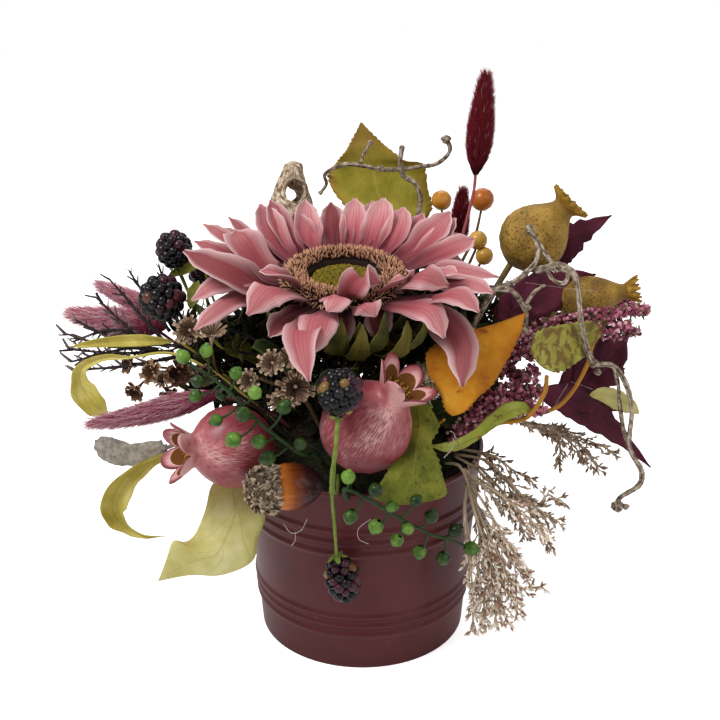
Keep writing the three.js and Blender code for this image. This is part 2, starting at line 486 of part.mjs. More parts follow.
place("grass_plume_front", sprig(
  picked([[84, -70, 42], [73, -66, 66], [64, -61, 88], [58, -55, 106], [52, -47, 119], [42, -34, 114]], 1.2), [
    [[62, -60, 92], [62, -63, 60], [61, -64, 27]], [[64, -61.5, 86], [70, -66, 56], [72, -68, 33]],
    [[73, -66, 66], [84, -68, 56], [97, -64, 56]],
  ], 1), COLOURS.straw, 0.95);
place("grass_plume_right", sprig(
  picked([[106, -52, 88], [94, -50, 95], [82, -46, 104], [68, -40, 118], [50, -30, 118]], 1.1), [
    [[86, -47.5, 101], [96, -54, 86], [101, -56, 76]], [[92, -50, 96.5], [100, -44, 100], [108, -42, 96]],
  ], 1), COLOURS.straw, 0.95);
place("grass_plume_back", sprig(
  picked([[150, 20, 95], [128, 17, 106], [106, 14, 113], [84, 10, 121], [50, 6, 112]], 1.1), [
    [[112, 15, 112], [118, 24, 98], [119, 26, 84]], [[120, 16, 110], [132, 12, 98], [140, 10, 88]],
  ], 1), COLOURS.straw, 0.95);

// ---- Foam block with the holes that the stems made, and the moss packed round its edge ----

const foamFoot = BUCKET.baseSheet + GAP;
const foamProfile = [[0, foamFoot], [bucketRadius(foamFoot) - BUCKET.wall - GAP - 0.5, foamFoot],
  [FOAM.shoulderRadius, FOAM.shoulder], [60, 116], [50, 127], [34, FOAM.top - 3], [0, FOAM.top]];
let foam = solid(turned(foamProfile, FOAM.sides));
for (const hole of holes) foam = foam.subtract(hole);
place("floral_foam", foam, COLOURS.foam, 1);

const mossProfile = [[FOAM.shoulderRadius + GAP, FOAM.shoulder + 0.6], [66.4, FOAM.shoulder + 0.6], [66.9, 112],
  [62.4, 114], [61.6, 113], [FOAM.shoulderRadius + GAP, FOAM.shoulder + 0.6]];
place("moss_collar", solid(turned(mossProfile, FOAM.sides)), COLOURS.moss, 1);

export default group;
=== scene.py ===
import math
import random

import bmesh
import bpy
from mathutils import Matrix, Vector


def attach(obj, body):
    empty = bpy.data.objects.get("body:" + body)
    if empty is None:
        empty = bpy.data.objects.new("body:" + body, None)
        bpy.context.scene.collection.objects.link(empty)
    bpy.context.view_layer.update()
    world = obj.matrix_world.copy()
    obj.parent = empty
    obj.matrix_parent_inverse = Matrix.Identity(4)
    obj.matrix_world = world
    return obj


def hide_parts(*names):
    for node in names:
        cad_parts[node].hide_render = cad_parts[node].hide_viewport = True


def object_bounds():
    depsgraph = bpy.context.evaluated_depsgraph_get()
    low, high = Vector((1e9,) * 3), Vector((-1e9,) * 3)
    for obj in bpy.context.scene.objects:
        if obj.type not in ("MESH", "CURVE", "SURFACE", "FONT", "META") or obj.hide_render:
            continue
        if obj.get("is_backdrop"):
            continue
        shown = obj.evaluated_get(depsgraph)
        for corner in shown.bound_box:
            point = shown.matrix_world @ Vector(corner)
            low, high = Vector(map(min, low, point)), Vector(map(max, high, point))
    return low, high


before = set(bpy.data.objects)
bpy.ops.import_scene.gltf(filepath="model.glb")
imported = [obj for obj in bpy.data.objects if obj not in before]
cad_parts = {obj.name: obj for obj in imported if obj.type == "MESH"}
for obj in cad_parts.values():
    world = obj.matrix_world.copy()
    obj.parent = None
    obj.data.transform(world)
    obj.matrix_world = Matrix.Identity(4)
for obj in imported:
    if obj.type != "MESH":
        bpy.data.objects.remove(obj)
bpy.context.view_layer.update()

scene = bpy.context.scene

# ---- Camera, floor and light ----
# A plain pale studio table under large soft lights, seen from a little above.

CAMERA_PLACE = (-0.0014, -0.600, 0.392)
CAMERA_PITCH = math.radians(69)
CAMERA_LENS = 57.5

camera_data = bpy.data.cameras.new("camera")
camera_data.lens = CAMERA_LENS
camera_data.sensor_width = 36
camera_data.clip_start = 0.01
camera = bpy.data.objects.new("camera", camera_data)
camera.location = CAMERA_PLACE
camera.rotation_euler = (CAMERA_PITCH, 0, 0)
scene.collection.objects.link(camera)
scene.camera = camera
scene.view_settings.view_transform = "Standard"


def srgb(code):
    """An sRGB hex colour as a linear RGBA value."""
    parts = [int(code[i:i + 2], 16) / 255 for i in (1, 3, 5)]
    return tuple(p / 12.92 if p <= 0.04045 else ((p + 0.055) / 1.055) ** 2.4 for p in parts) + (1,)


def add(tree, kind, links=None, stops=None, **settings):
    """Adds a node with its settings, its inputs (a value or a socket each) and a colour ramp's stops. The
    kind is a shader node's unless its name says otherwise."""
    own_name = kind.startswith(("Geometry", "Function", "Node"))
    node = tree.nodes.new(kind if own_name else "ShaderNode" + kind)
    for name, value in settings.items():
        setattr(node, name, value)
    for name, value in (links or {}).items():
        if isinstance(value, bpy.types.NodeSocket):
            tree.links.new(value, node.inputs[name])
        else:
            node.inputs[name].default_value = value
    if stops:
        elements = node.color_ramp.elements
        while len(elements) < len(stops):
            elements.new(0.5)
        for element, (place, colour) in zip(elements, stops):
            element.position = place
            element.color = srgb(colour) if isinstance(colour, str) else (colour,) * 3 + (1,)
    return node


def material(name, **principled):
    """A new material with its shader's fixed values. Returns the material, its node tree and the shader."""
    made = bpy.data.materials.new(name)
    made.use_nodes = True
    shader = made.node_tree.nodes["Principled BSDF"]
    for key, value in principled.items():
        shader.inputs[key.replace("_", " ")].default_value = value
    return made, made.node_tree, shader


floor_material, floor_tree, floor_shader = material("matte_white_card", Base_Color=srgb("#fdfdfd"),
                                                    Roughness=1.0,
                                                    Emission_Color=(1, 1, 1, 1))
looked_at = add(floor_tree, "LightPath").outputs["Is Camera Ray"]
glow = add(floor_tree, "Math", {0: looked_at, 1: 0.64}, operation="MULTIPLY")
floor_tree.links.new(glow.outputs[0], floor_shader.inputs["Emission Strength"])
bpy.ops.mesh.primitive_plane_add(size=6)
floor = bpy.context.object
floor.name = "floor"
floor.data.materials.append(floor_material)
floor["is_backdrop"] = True

world = bpy.data.worlds.new("white_studio")
scene.world = world
world.use_nodes = True
sky = world.node_tree.nodes["Background"]
seen = add(world.node_tree, "LightPath").outputs["Is Camera Ray"]
# The backdrop shows plain white, and lights the object a little less than that.
level = add(world.node_tree, "MapRange", {"Value": seen, "To Min": 0.42, "To Max": 1.0})
world.node_tree.links.new(level.outputs[0], sky.inputs["Strength"])
sky.inputs["Color"].default_value = (1, 1, 1, 1)

for name, place, size, power in [
    ("soft_light_left", (-0.7, -0.45, 1.25), 0.6, 13.5),
    ("soft_light_right", (0.95, -0.6, 0.8), 0.9, 3),
    ("soft_light_back", (0.1, 1.1, 1.1), 1.2, 6),
]:
    lamp = bpy.data.lights.new(name, "AREA")
    lamp.size = size
    lamp.energy = power
    lamp_object = bpy.data.objects.new(name, lamp)
    lamp_object.location = place
    lamp_object.rotation_euler = (Vector((0, 0, 0.15)) - Vector(place)).to_track_quat("-Z", "Y").to_euler()
    scene.collection.objects.link(lamp_object)

# ---- Bucket ----
# A small pail of drawn sheet tin with two groups of three rolled beads and a curled rim, spray painted a
# semi-matte maroon. The flat base is pressed in from below.

MM = 0.001
BUCKET_HEIGHT = 112 * MM
BASE_RADIUS = 60 * MM
RIM_RADIUS = 68 * MM
TIN_WALL = 0.6 * MM
BEAD_HEIGHTS = [22 * MM, 28 * MM, 34 * MM, 75 * MM, 82 * MM, 89 * MM]
BEAD_PROUD = 1.3 * MM
BEAD_HALF = 2.9 * MM
CURL_RADIUS = 1.4 * MM
WHOLE_TURN = 2 * math.pi


class Shell:
    """The vertices, faces, UVs and shades of one mesh, grown from grids of points."""

    def __init__(self):
        self.verts, self.faces, self.uvs, self.parts, self.shades = [], [], [], [], []

    def face(self, corners, uvs, part, shade):
        self.faces.append(corners)
        self.uvs.extend(uvs)
        self.parts.append(part)
        self.shades.append(shade)

    def grid(self, rows, closed=False, caps=False, part=0, shade=0.5):
        """A skin over rows of points. Closed rows join end to start, and caps close the first and last
        row."""
        start, count, width = len(self.verts), len(rows), len(rows[0])
        self.verts.extend(tuple(point) for row in rows for point in row)
        spread = width if closed else width - 1
        for i in range(count - 1):
            for j in range(spread):
                corners = [(i, j), (i, j + 1), (i + 1, j + 1), (i + 1, j)]
                self.face([start + r * width + c % width for r, c in corners],
                          [(c / spread, r / (count - 1)) for r, c in corners], part, shade)
        if caps:
            for row, order in ((0, -1), (count - 1, 1)):
                ring = [start + row * width + c for c in range(width)][::order]
                self.face(ring, [(0.5, row / (count - 1))] * width, part, shade)

    def made(self, name, *materials, thickness=0.0):
        """The mesh as an object. A thickness turns an open sheet into a closed thin one."""
        mesh = bpy.data.meshes.new(name)
        mesh.from_pydata(self.verts, [], self.faces)
        mesh.uv_layers.new(name="UVMap").data.foreach_set("uv", [c for corner in self.uvs for c in corner])
        mesh.attributes.new("shade", "FLOAT", "FACE").data.foreach_set("value", self.shades)
        mesh.polygons.foreach_set("material_index", self.parts)
        mesh.polygons.foreach_set("use_smooth", [True] * len(self.faces))
        for finish in materials:
            mesh.materials.append(finish)
        grown = bmesh.new()
        grown.from_mesh(mesh)
        bmesh.ops.remove_doubles(grown, verts=grown.verts, dist=1e-6)
        bmesh.ops.dissolve_degenerate(grown, edges=grown.edges, dist=1e-7)
        grown.to_mesh(mesh)
        grown.free()
        made = bpy.data.objects.new(name, mesh)
        scene.collection.objects.link(made)
        if thickness:
            sheet = made.modifiers.new("sheet", "SOLIDIFY")
            sheet.thickness = thickness
            sheet.offset = 0
        return made


def settle(made, slot, *nodes):
    """Every piece rides on the one body and stands for its CAD nodes, which are hidden. The slot is not used.
    """
    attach(made, "root")
    if nodes:
        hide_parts(*nodes)


def nodes_of(name):
    """The CAD node of that name, or none for a piece that only shows here."""
    return [name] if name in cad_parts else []


def turned(shell, profile, sides, stand=Matrix(), ripple=None, **options):
    """A skin of (radius, height) points turned about Z and then placed. A ripple changes radii round the
    turn."""
    rows = []
    for radius, height in profile:
        row = []
        for side in range(sides):
            angle = WHOLE_TURN * side / sides
            out = radius * (1 + ripple(angle, height)) if ripple else radius
            row.append(stand @ Vector((out * math.cos(angle), out * math.sin(angle), height)))
        rows.append(row)
    shell.grid(rows, closed=True, **options)


def bucket_radius(height):
    """The plain outer wall, and a rounded bead over it at each bead height."""
    radius = BASE_RADIUS + (RIM_RADIUS - BASE_RADIUS) * height / BUCKET_HEIGHT
    for bead in BEAD_HEIGHTS:
        away = abs(height - bead) / BEAD_HALF
        if away < 1:
            radius += BEAD_PROUD * 0.5 * (1 + math.cos(math.pi * away))
    return radius


def surfaced(made, tree, shader, colour, height, strength, distance):
    """The material with its colour linked to its shader, and its relief as a bump in metres."""
    bump = add(tree, "Bump", {"Height": height, "Strength": strength, "Distance": distance})
    tree.links.new(colour, shader.inputs["Base Color"])
    tree.links.new(bump.outputs["Normal"], shader.inputs["Normal"])
    return made


def painted_tin():
    """Semi-matte maroon spray paint on drawn tin: a faint orange-peel grain, broad soft highlights, small
    rubs."""
    made, tree, shader = material("spray_painted_tin", Roughness=0.36, Specular_IOR_Level=0.23)
    place = add(tree, "TexCoord").outputs["Object"]
    cloud = add(tree, "TexNoise", {"Vector": place, "Scale": 22.0, "Detail": 5.0})
    tint = add(tree, "ValToRGB", {"Fac": cloud.outputs["Fac"]},
               stops=[(0.3, "#4f2023"), (0.55, "#582427"), (0.75, "#60292c")])
    speck = add(tree, "TexNoise", {"Vector": place, "Scale": 260.0, "Detail": 3.0})
    rubs = add(tree, "ValToRGB", {"Fac": speck.outputs["Fac"]}, stops=[(0.71, 0.0), (0.75, 0.5)])
    colour = add(tree, "Mix", {0: rubs.outputs["Color"], 6: tint.outputs["Color"], 7: srgb("#80504f")},
                 data_type="RGBA")
    grain = add(tree, "TexNoise", {"Vector": place, "Scale": 1400.0, "Detail": 1.0})
    return surfaced(made, tree, shader, colour.outputs[2], grain.outputs["Fac"], 0.1, 0.0002)


tin = painted_tin()
wall = Shell()
WALL_STEPS = 224
outside = [(bucket_radius(BUCKET_HEIGHT * k / WALL_STEPS),
            BUCKET_HEIGHT * k / WALL_STEPS) for k in range(WALL_STEPS)]
curl_centre = RIM_RADIUS - 0.1 * CURL_RADIUS
curl = [(curl_centre + CURL_RADIUS * math.cos(a), BUCKET_HEIGHT + CURL_RADIUS * math.sin(a))
        for a in [math.radians(degrees) for degrees in range(-60, 241, 20)]]
inside = [(RIM_RADIUS - TIN_WALL - (RIM_RADIUS - BASE_RADIUS) * (1 - part),
           (BUCKET_HEIGHT - 2 * CURL_RADIUS) * part) for part in (1, 0.75, 0.5, 0.25, 0)]
turned(wall, outside[:-4] + curl + inside + outside[:1], 128)
settle(wall.made("tin_wall", tin), "painted_tin", "bucket_wall")

base = Shell()
seat = BASE_RADIUS - TIN_WALL - 0.3 * MM
turned(base, [(0, 0), (seat - 0.8 * MM, 0), (seat, 0.3 * MM), (seat, 1.2 * MM), (0, 1.2 * MM)], 96)
settle(base.made("tin_base", tin), "painted_tin", "bucket_base")

# ---- Floral foam and moss ----
# A dry foam block fills the pail and holds every stem. Dark moss, coconut fibre and bits of stalk are glued
# over its domed top, so that only a dark tangle shows between the pieces.

FOAM_TOP = [(64.5, 110), (60, 117), (50, 128), (34, 136.4), (15, 139), (0, 139.4)]


def dry_foam():
    """Phenolic floral foam: crumbly, matte and dark green, with open cells a few tenths of a millimetre
    wide."""
    made, tree, shader = material("dry_floral_foam", Roughness=1.0, Specular_IOR_Level=0.1)
    place = add(tree, "TexCoord").outputs["Object"]
    cells = add(tree, "TexVoronoi", {"Vector": place, "Scale": 1600.0})
    tint = add(tree, "ValToRGB", {"Fac": cells.outputs["Distance"]},
               stops=[(0.0, "#141710"), (0.5, "#262b1b")])
    return surfaced(made, tree, shader, tint.outputs["Color"], cells.outputs["Distance"], 0.6, 0.0006)


foam_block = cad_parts["floral_foam"]
for place in foam_block.material_slots:
    place.material = dry_foam()


def shaded(name, stops, rough=0.9, spread=0.25, scale=90.0, **principled):
    """A matte dyed or natural finish: one colour ramp read by each copy's own shade and a little noise."""
    principled.setdefault("Specular_IOR_Level", 0.25)
    made, tree, shader = material(name, Roughness=rough, **principled)
    own = add(tree, "Attribute", attribute_name="shade").outputs["Fac"]
    place = add(tree, "TexCoord").outputs["Object"]
    cloud = add(tree, "TexNoise", {"Vector": place, "Scale": scale, "Detail": 3.0})
    stir = add(tree, "Math", {0: cloud.outputs["Fac"], 1: -0.5}, operation="ADD").outputs[0]
    mixed = add(tree, "Math", {0: stir, 1: 4 * spread, 2: own}, operation="MULTIPLY_ADD")
    tint = add(tree, "ValToRGB", {"Fac": mixed.outputs[0]}, stops=stops)
    tree.links.new(tint.outputs["Color"], shader.inputs["Base Color"])
    return made


def repeat_tree(on_surface):
    """Copies of a small shape. They stand on points with a turn and a size of their own, or are scattered
    over the faces and combed from the surface's normal towards the attribute comb."""
    tree = bpy.data.node_groups.new("scattered_copies" if on_surface else "placed_copies", "GeometryNodeTree")
    for name, kind in [("Geometry", "Geometry"), ("Shape", "Object"), ("Finish", "Material"),
                       ("Size", "Float"),
                       ("Size Spread", "Float"), ("Lean", "Float"), ("Density", "Float"), ("Combed", "Float"),
                       ("Seed", "Int")]:
        tree.interface.new_socket(name, in_out="INPUT", socket_type="NodeSocket" + kind)
    tree.interface.new_socket("Geometry", in_out="OUTPUT", socket_type="NodeSocketGeometry")
    given = add(tree, "NodeGroupInput").outputs
    if on_surface:
        spread = add(tree, "GeometryNodeDistributePointsOnFaces",
                     {"Mesh": given["Geometry"], "Density": given["Density"], "Seed": given["Seed"]})
        points = spread.outputs["Points"]
        comb = add(tree, "GeometryNodeInputNamedAttribute", {"Name": "comb"}, data_type="FLOAT_VECTOR")
        way = add(tree, "Mix", {0: given["Combed"], 4: spread.outputs["Normal"],
                                          5: comb.outputs["Attribute"]}, data_type="VECTOR")
        turn = add(tree, "FunctionNodeAlignRotationToVector", {"Vector": way.outputs[1]}, axis="Z")
        size = given["Size"]
    else:
        points = given["Geometry"]
        own_turn = add(tree, "GeometryNodeInputNamedAttribute", {"Name": "turn"}, data_type="FLOAT_VECTOR")
        turn = add(tree, "FunctionNodeEulerToRotation", {"Euler": own_turn.outputs["Attribute"]})
        own_size = add(tree, "GeometryNodeInputNamedAttribute", {"Name": "size"}, data_type="FLOAT")
        size = add(tree, "Math", {0: own_size.outputs["Attribute"], 1: given["Size"]},
                   operation="MULTIPLY").outputs[0]
    most = add(tree, "CombineXYZ", {"X": given["Lean"], "Y": given["Lean"],
                                              "Z": math.pi if on_surface else 0.0})
    least = add(tree, "VectorMath", {0: most.outputs[0], "Scale": -1.0}, operation="SCALE")
    tilt = add(tree, "FunctionNodeRandomValue",
               {0: least.outputs[0], 1: most.outputs[0], "Seed": given["Seed"]},
               data_type="FLOAT_VECTOR")
    lean = add(tree, "FunctionNodeEulerToRotation", {"Euler": tilt.outputs[0]})
    turned_by = add(tree, "FunctionNodeRotateRotation",
                    {"Rotation": turn.outputs["Rotation"], "Rotate By": lean.outputs["Rotation"]},
                    rotation_space="LOCAL")
    less = add(tree, "Math", {0: 1.0, 1: given["Size Spread"]}, operation="SUBTRACT")
    more = add(tree, "Math", {0: 1.0, 1: given["Size Spread"]}, operation="ADD")
    vary = add(tree, "FunctionNodeRandomValue",
               {2: less.outputs[0], 3: more.outputs[0], "Seed": given["Seed"]},
               data_type="FLOAT")
    scale = add(tree, "Math", {0: size, 1: vary.outputs[1]}, operation="MULTIPLY")
    shape = add(tree, "GeometryNodeObjectInfo", {"Object": given["Shape"]})
    copies = add(tree, "GeometryNodeInstanceOnPoints",
                 {"Points": points, "Instance": shape.outputs["Geometry"],
                  "Rotation": turned_by.outputs["Rotation"],
                  "Scale": scale.outputs[0]})
    next_seed = add(tree, "Math", {0: given["Seed"], 1: 7.0}, operation="ADD")
    any_shade = add(tree, "FunctionNodeRandomValue", {2: 0.0, 3: 1.0, "Seed": next_seed.outputs[0]},
                    data_type="FLOAT")
    marked = add(tree, "GeometryNodeStoreNamedAttribute",
                 {"Geometry": copies.outputs[0], "Name": "shade", "Value": any_shade.outputs[1]},
                 data_type="FLOAT", domain="INSTANCE")
    real = add(tree, "GeometryNodeRealizeInstances", {"Geometry": marked.outputs[0]})
    finished = add(tree, "GeometryNodeSetMaterial",
                   {"Geometry": real.outputs[0], "Material": given["Finish"]})
    add(tree, "NodeGroupOutput", {"Geometry": finished.outputs[0]})
    return tree


PLACED, SCATTERED = repeat_tree(False), repeat_tree(True)


def copies(name, base, tree, shape, finish, **inputs):
    """Runs a repeat tree on a base object, and gives back its result as a plain mesh with that name. The
    shape gives up its one shade, so that each copy keeps the random one of its own."""
    if "shade" in shape.data.attributes:
        shape.data.attributes.remove(shape.data.attributes["shade"])
    modifier = base.modifiers.new("copies", "NODES")
    modifier.node_group = tree
    values = {"Shape": shape, "Finish": finish, "Size": 1.0, "Size Spread": 0.0, "Lean": 0.0, "Density": 0.0,
              "Combed": 0.0, "Seed": 1}
    values.update({key.replace("_", " "): value for key, value in inputs.items()})
    for item in tree.interface.items_tree:
        if item.in_out == "INPUT" and item.name in values:
            modifier[item.identifier] = values[item.name]
    mesh = bpy.data.meshes.new_from_object(base.evaluated_get(bpy.context.evaluated_depsgraph_get()))
    base.modifiers.remove(modifier)
    bpy.data.objects.remove(base)
    mesh.name = name
    made = bpy.data.objects.new(name, mesh)
    scene.collection.objects.link(made)
    return made


def placed(name, places, shape, finish, **inputs):
    """Copies on places of (point, way that the copy's Z points, size, way that its X points or None)."""
    mesh = bpy.data.meshes.new(name)
    mesh.from_pydata([tuple(p[0]) for p in places], [], [])
    turns, sizes = [], []
    for point, way, size, across in places:
        up = Vector(way).normalized()
        if across is None:
            turns.extend(up.to_track_quat("Z", "Y").to_euler())
        else:
            y = up.cross(Vector(across)).normalized()
            turns.extend(Matrix((y.cross(up), y, up)).transposed().to_euler())
        sizes.append(size)
    mesh.attributes.new("turn", "FLOAT_VECTOR", "POINT").data.foreach_set("vector", turns)
    mesh.attributes.new("size", "FLOAT", "POINT").data.foreach_set("value", sizes)
    base = bpy.data.objects.new(name, mesh)
    scene.collection.objects.link(base)
    return copies(name, base, PLACED, shape, finish, **inputs)


def joined(name, *objects):
    """Several plain meshes as one."""
    for other in objects[1:]:
        if "UVMap" not in other.data.uv_layers:
            other.data.uv_layers.new(name="UVMap")
    with bpy.context.temp_override(active_object=objects[0], object=objects[0],
                                   selected_objects=list(objects),
                                   selected_editable_objects=list(objects)):
        bpy.ops.object.join()
    objects[0].name = name
    objects[0].data.name = name
    return objects[0]


def smooth_line(points, count):
    """Count points in metres on a Catmull-Rom line through points in millimetres."""
    knots = [Vector(point) * MM for point in points]
    knots = [2 * knots[0] - knots[1]] + knots + [2 * knots[-1] - knots[-2]]
    line = []
    for k in range(count):
        place = k * (len(points) - 1) / (count - 1)
        i = min(int(place), len(points) - 2)
        t = place - i
        a, b, c, d = knots[i:i + 4]
        line.append(0.5 * (2 * b + (c - a) * t + (2 * a - 5 * b + 4 * c - d) * t ** 2
                           + (3 * b - a - 3 * c + d) * t ** 3))
    return line


def rod(shell, line, radii, sides=8, rough=0.0, seed=0, **options):
    """A round skin along a line. Radii are given from start to end, and rough shakes them and the line."""
    chance = random.Random(seed)
    rows, across = [], None
    for i, point in enumerate(line):
        ahead = (line[min(i + 1, len(line) - 1)] - line[max(i - 1, 0)]).normalized()
        across = across or ahead.orthogonal()
        across = (across - ahead * across.dot(ahead)).normalized()
        other = ahead.cross(across)
        part = i / (len(line) - 1) * (len(radii) - 1)
        low = min(int(part), len(radii) - 2) if len(radii) > 1 else 0
        high = min(low + 1, len(radii) - 1)
        radius = radii[low] + (radii[high] - radii[low]) * (part - low)
        radius *= 1 + rough * chance.uniform(-1, 1)
        rows.append([point + radius * (1 + 0.4 * rough * chance.uniform(-1, 1))
                     * (across * math.cos(WHOLE_TURN * s / sides) + other * math.sin(WHOLE_TURN * s / sides))
                     for s in range(sides)])
    shell.grid(rows, closed=True, caps=True, **options)


def small_rod(points, radii, sides=4, steps=5):
    """A short thin shape for copying, such as a hair, a bristle or a fibre, in millimetres along +Z."""
    shell = Shell()
    rod(shell, smooth_line(points, steps), [radius * MM for radius in radii], sides)
    return shell.made("shape")


moss_fibre = shaded("dried_moss_and_coir",
                    [(0.0, "#0d0b09"), (0.45, "#231b14"), (0.8, "#3a2c20"), (1.0, "#5b452f")],
                    spread=0.1)
fibre = small_rod([(-7, 0, 0), (-3, 1.5, 1.2), (2, -1, 1.4), (7, 0.5, 0)], [0.22, 0.3, 0.28, 0.12], sides=3,
                  steps=5)
strands = []
for share, size, density in ((0.88, 1.0, 150000.0), (0.985, 0.42, 300000.0)):
    dome = Shell()
    turned(dome, [(share * r * MM, z * MM) for r, z in FOAM_TOP], 40)
    strands.append(copies("moss_strands", dome.made("dome"), SCATTERED, fibre, moss_fibre, Size=size,
                          Size_Spread=0.45, Lean=0.55, Density=density, Seed=3))
bpy.data.objects.remove(fibre)
collar = Shell()
turned(collar, [(66.6 * MM, 105 * MM), (66.9 * MM, 109 * MM), (65.8 * MM, 112.5 * MM), (63 * MM, 113.6 * MM),
                (60.5 * MM, 113.5 * MM), (62 * MM, 107 * MM), (66.6 * MM, 105 * MM)], 72,
       ripple=lambda angle, height: 0.006 * math.sin(23 * angle) * math.sin(31 * angle + 900 * height))
settle(joined("moss_and_fibre", collar.made("collar", moss_fibre), *strands), "moss", "moss_collar")

# Bent stalks and small leaves, all nearly black-green, are tucked in above the moss to close the gaps. The
# leaves' near-black green is partly painted shade deep among the stems.
old_leaf = small_rod([(0, 0, 0), (0, 0.6, 5), (0, 1.9, 10), (0, 4.2, 15)], [0.4, 2.6, 2.3, 0.1], sides=6,
                     steps=6)
old_leaf.data.transform(Matrix.Diagonal((1, 0.14, 1, 1)))
bent_stalk = small_rod([(0, 0, 0), (1.5, 0, 9), (-1, 1, 18), (3, 0, 28)], [0.45, 0.4, 0.4, 0.2], sides=4,
                       steps=8)
# Nearly black-green leaves: partly painted shade between the pieces.
dark_leaf_and_shade = shaded("dark_dyed_leaf",
                   [(0.0, "#0c0e08"), (0.5, "#1e2112"), (0.82, "#3c3b1c"), (1.0, "#665c2c")],
                   spread=0.1)
old_stalk = shaded("dark_bent_stalk",
                   [(0.0, "#140f0b"), (0.5, "#3a2c20"), (0.85, "#6b5742"), (1.0, "#8f7c64")])
chance = random.Random(17)
tucked = {old_leaf: [], bent_stalk: []}
for k in range(760):
    angle, out, rise = chance.uniform(0, WHOLE_TURN), math.sqrt(chance.random()), chance.random()
    wide = (26 + 34 * math.sin(math.pi * min(1,
                                             0.25 + 0.75 * rise))) * (0.72 if math.sin(angle) < -0.2 else 1)
    point = Vector((-3 + wide * out * math.cos(angle), 2 + wide * out * math.sin(angle),
                    122 + 58 * rise)) * MM
    way = (math.cos(angle + chance.uniform(-1, 1)), math.sin(angle + chance.uniform(-1, 1)),
           chance.uniform(0.1, 1.6))
    tucked[bent_stalk if k % 3 == 0 else old_leaf].append((point, way, chance.uniform(0.6, 1.1), None))
for centre, half, count, grow in (((-60, -8, 162), (36, 15, 19), 360, 1), ((8, 3, 174), (42, 22, 18), 440, 1),
                                  ((54, 4, 165), (26, 14, 20), 190, 1), ((60, 10, 182), (18, 9, 12), 80, 1),
                                  ((-8, 31, 173), (64, 8, 19), 430, 1.7),
                                  ((-60, 0, 160), (22, 10, 24), 300, 1.25)):
    for k in range(count):
        point = Vector([c + h * chance.uniform(-1, 1) for c, h in zip(centre, half)]) * MM
        way = (chance.gauss(0, 1), chance.gauss(0, 1), chance.gauss(0.5, 1))
        tucked[bent_stalk if k % 6 == 0 and centre[0] != 8 else old_leaf].append(
            (point, way, grow * (chance.uniform(0.5, 0.9) if k % 6 == 0 else chance.uniform(0.8, 1.2)), None))
filling = [placed("filling", tucked[old_leaf], old_leaf, dark_leaf_and_shade, Size_Spread=0.2, Lean=0.4, Seed=18),
           placed("filling", tucked[bent_stalk], bent_stalk, old_stalk, Size_Spread=0.2, Lean=0.4, Seed=19)]
for used in (old_leaf, bent_stalk):
    bpy.data.objects.remove(used)
bent = Shell()
for points in ([(-71.3, -34, 192.6), (-57.7, -36, 187.8), (-45.3, -38, 178.5), (-41.5, -40, 159.0),
                (-45.3, -38, 139.6), (-30, -30, 120)],
                [(-66.0, -30, 177.7), (-53.2, -32, 175.1), (-48.2, -34, 161.1), (-52.0, -34, 140.2),
                 (-36, -24, 119)],
                [(-80.3, -30, 166.3), (-67.5, -34, 156.5), (-53.8, -36, 145.7), (-34, -26, 119)]):
    rod(bent, smooth_line(points, 24), [0.8 * MM, 1.0 * MM], 6, rough=0.1, shade=0.95)
settle(joined("dark_filling", *filling, bent.made("bent_stalks", old_stalk)), "moss")

# ---- Sunflower ----
# A craft bloom on a wire stem: three layers of petals die-cut from rose cloth and heat-shaped one by one, a
# dense ring of brown bristles with paler tips, an olive flock middle, and a cup of green cloth sepals.

FLOWER = Matrix.Translation(Vector((-10, -20, 214)) * MM) @ Matrix.Rotation(math.radians(9), 4, "X")
CLOTH = 0.35 * MM


def lines_of(tree, uv, across, along, detail=3.0):
    """Noise drawn out along a piece: its UVs are stretched by so many streaks across and along."""
    stretched = add(tree, "Mapping", {"Vector": uv, "Scale": (across, along, 1.0)})
    return add(tree, "TexNoise", {"Vector": stretched.outputs[0], "Scale": 1.0, "Detail": detail}
               ).outputs["Fac"]


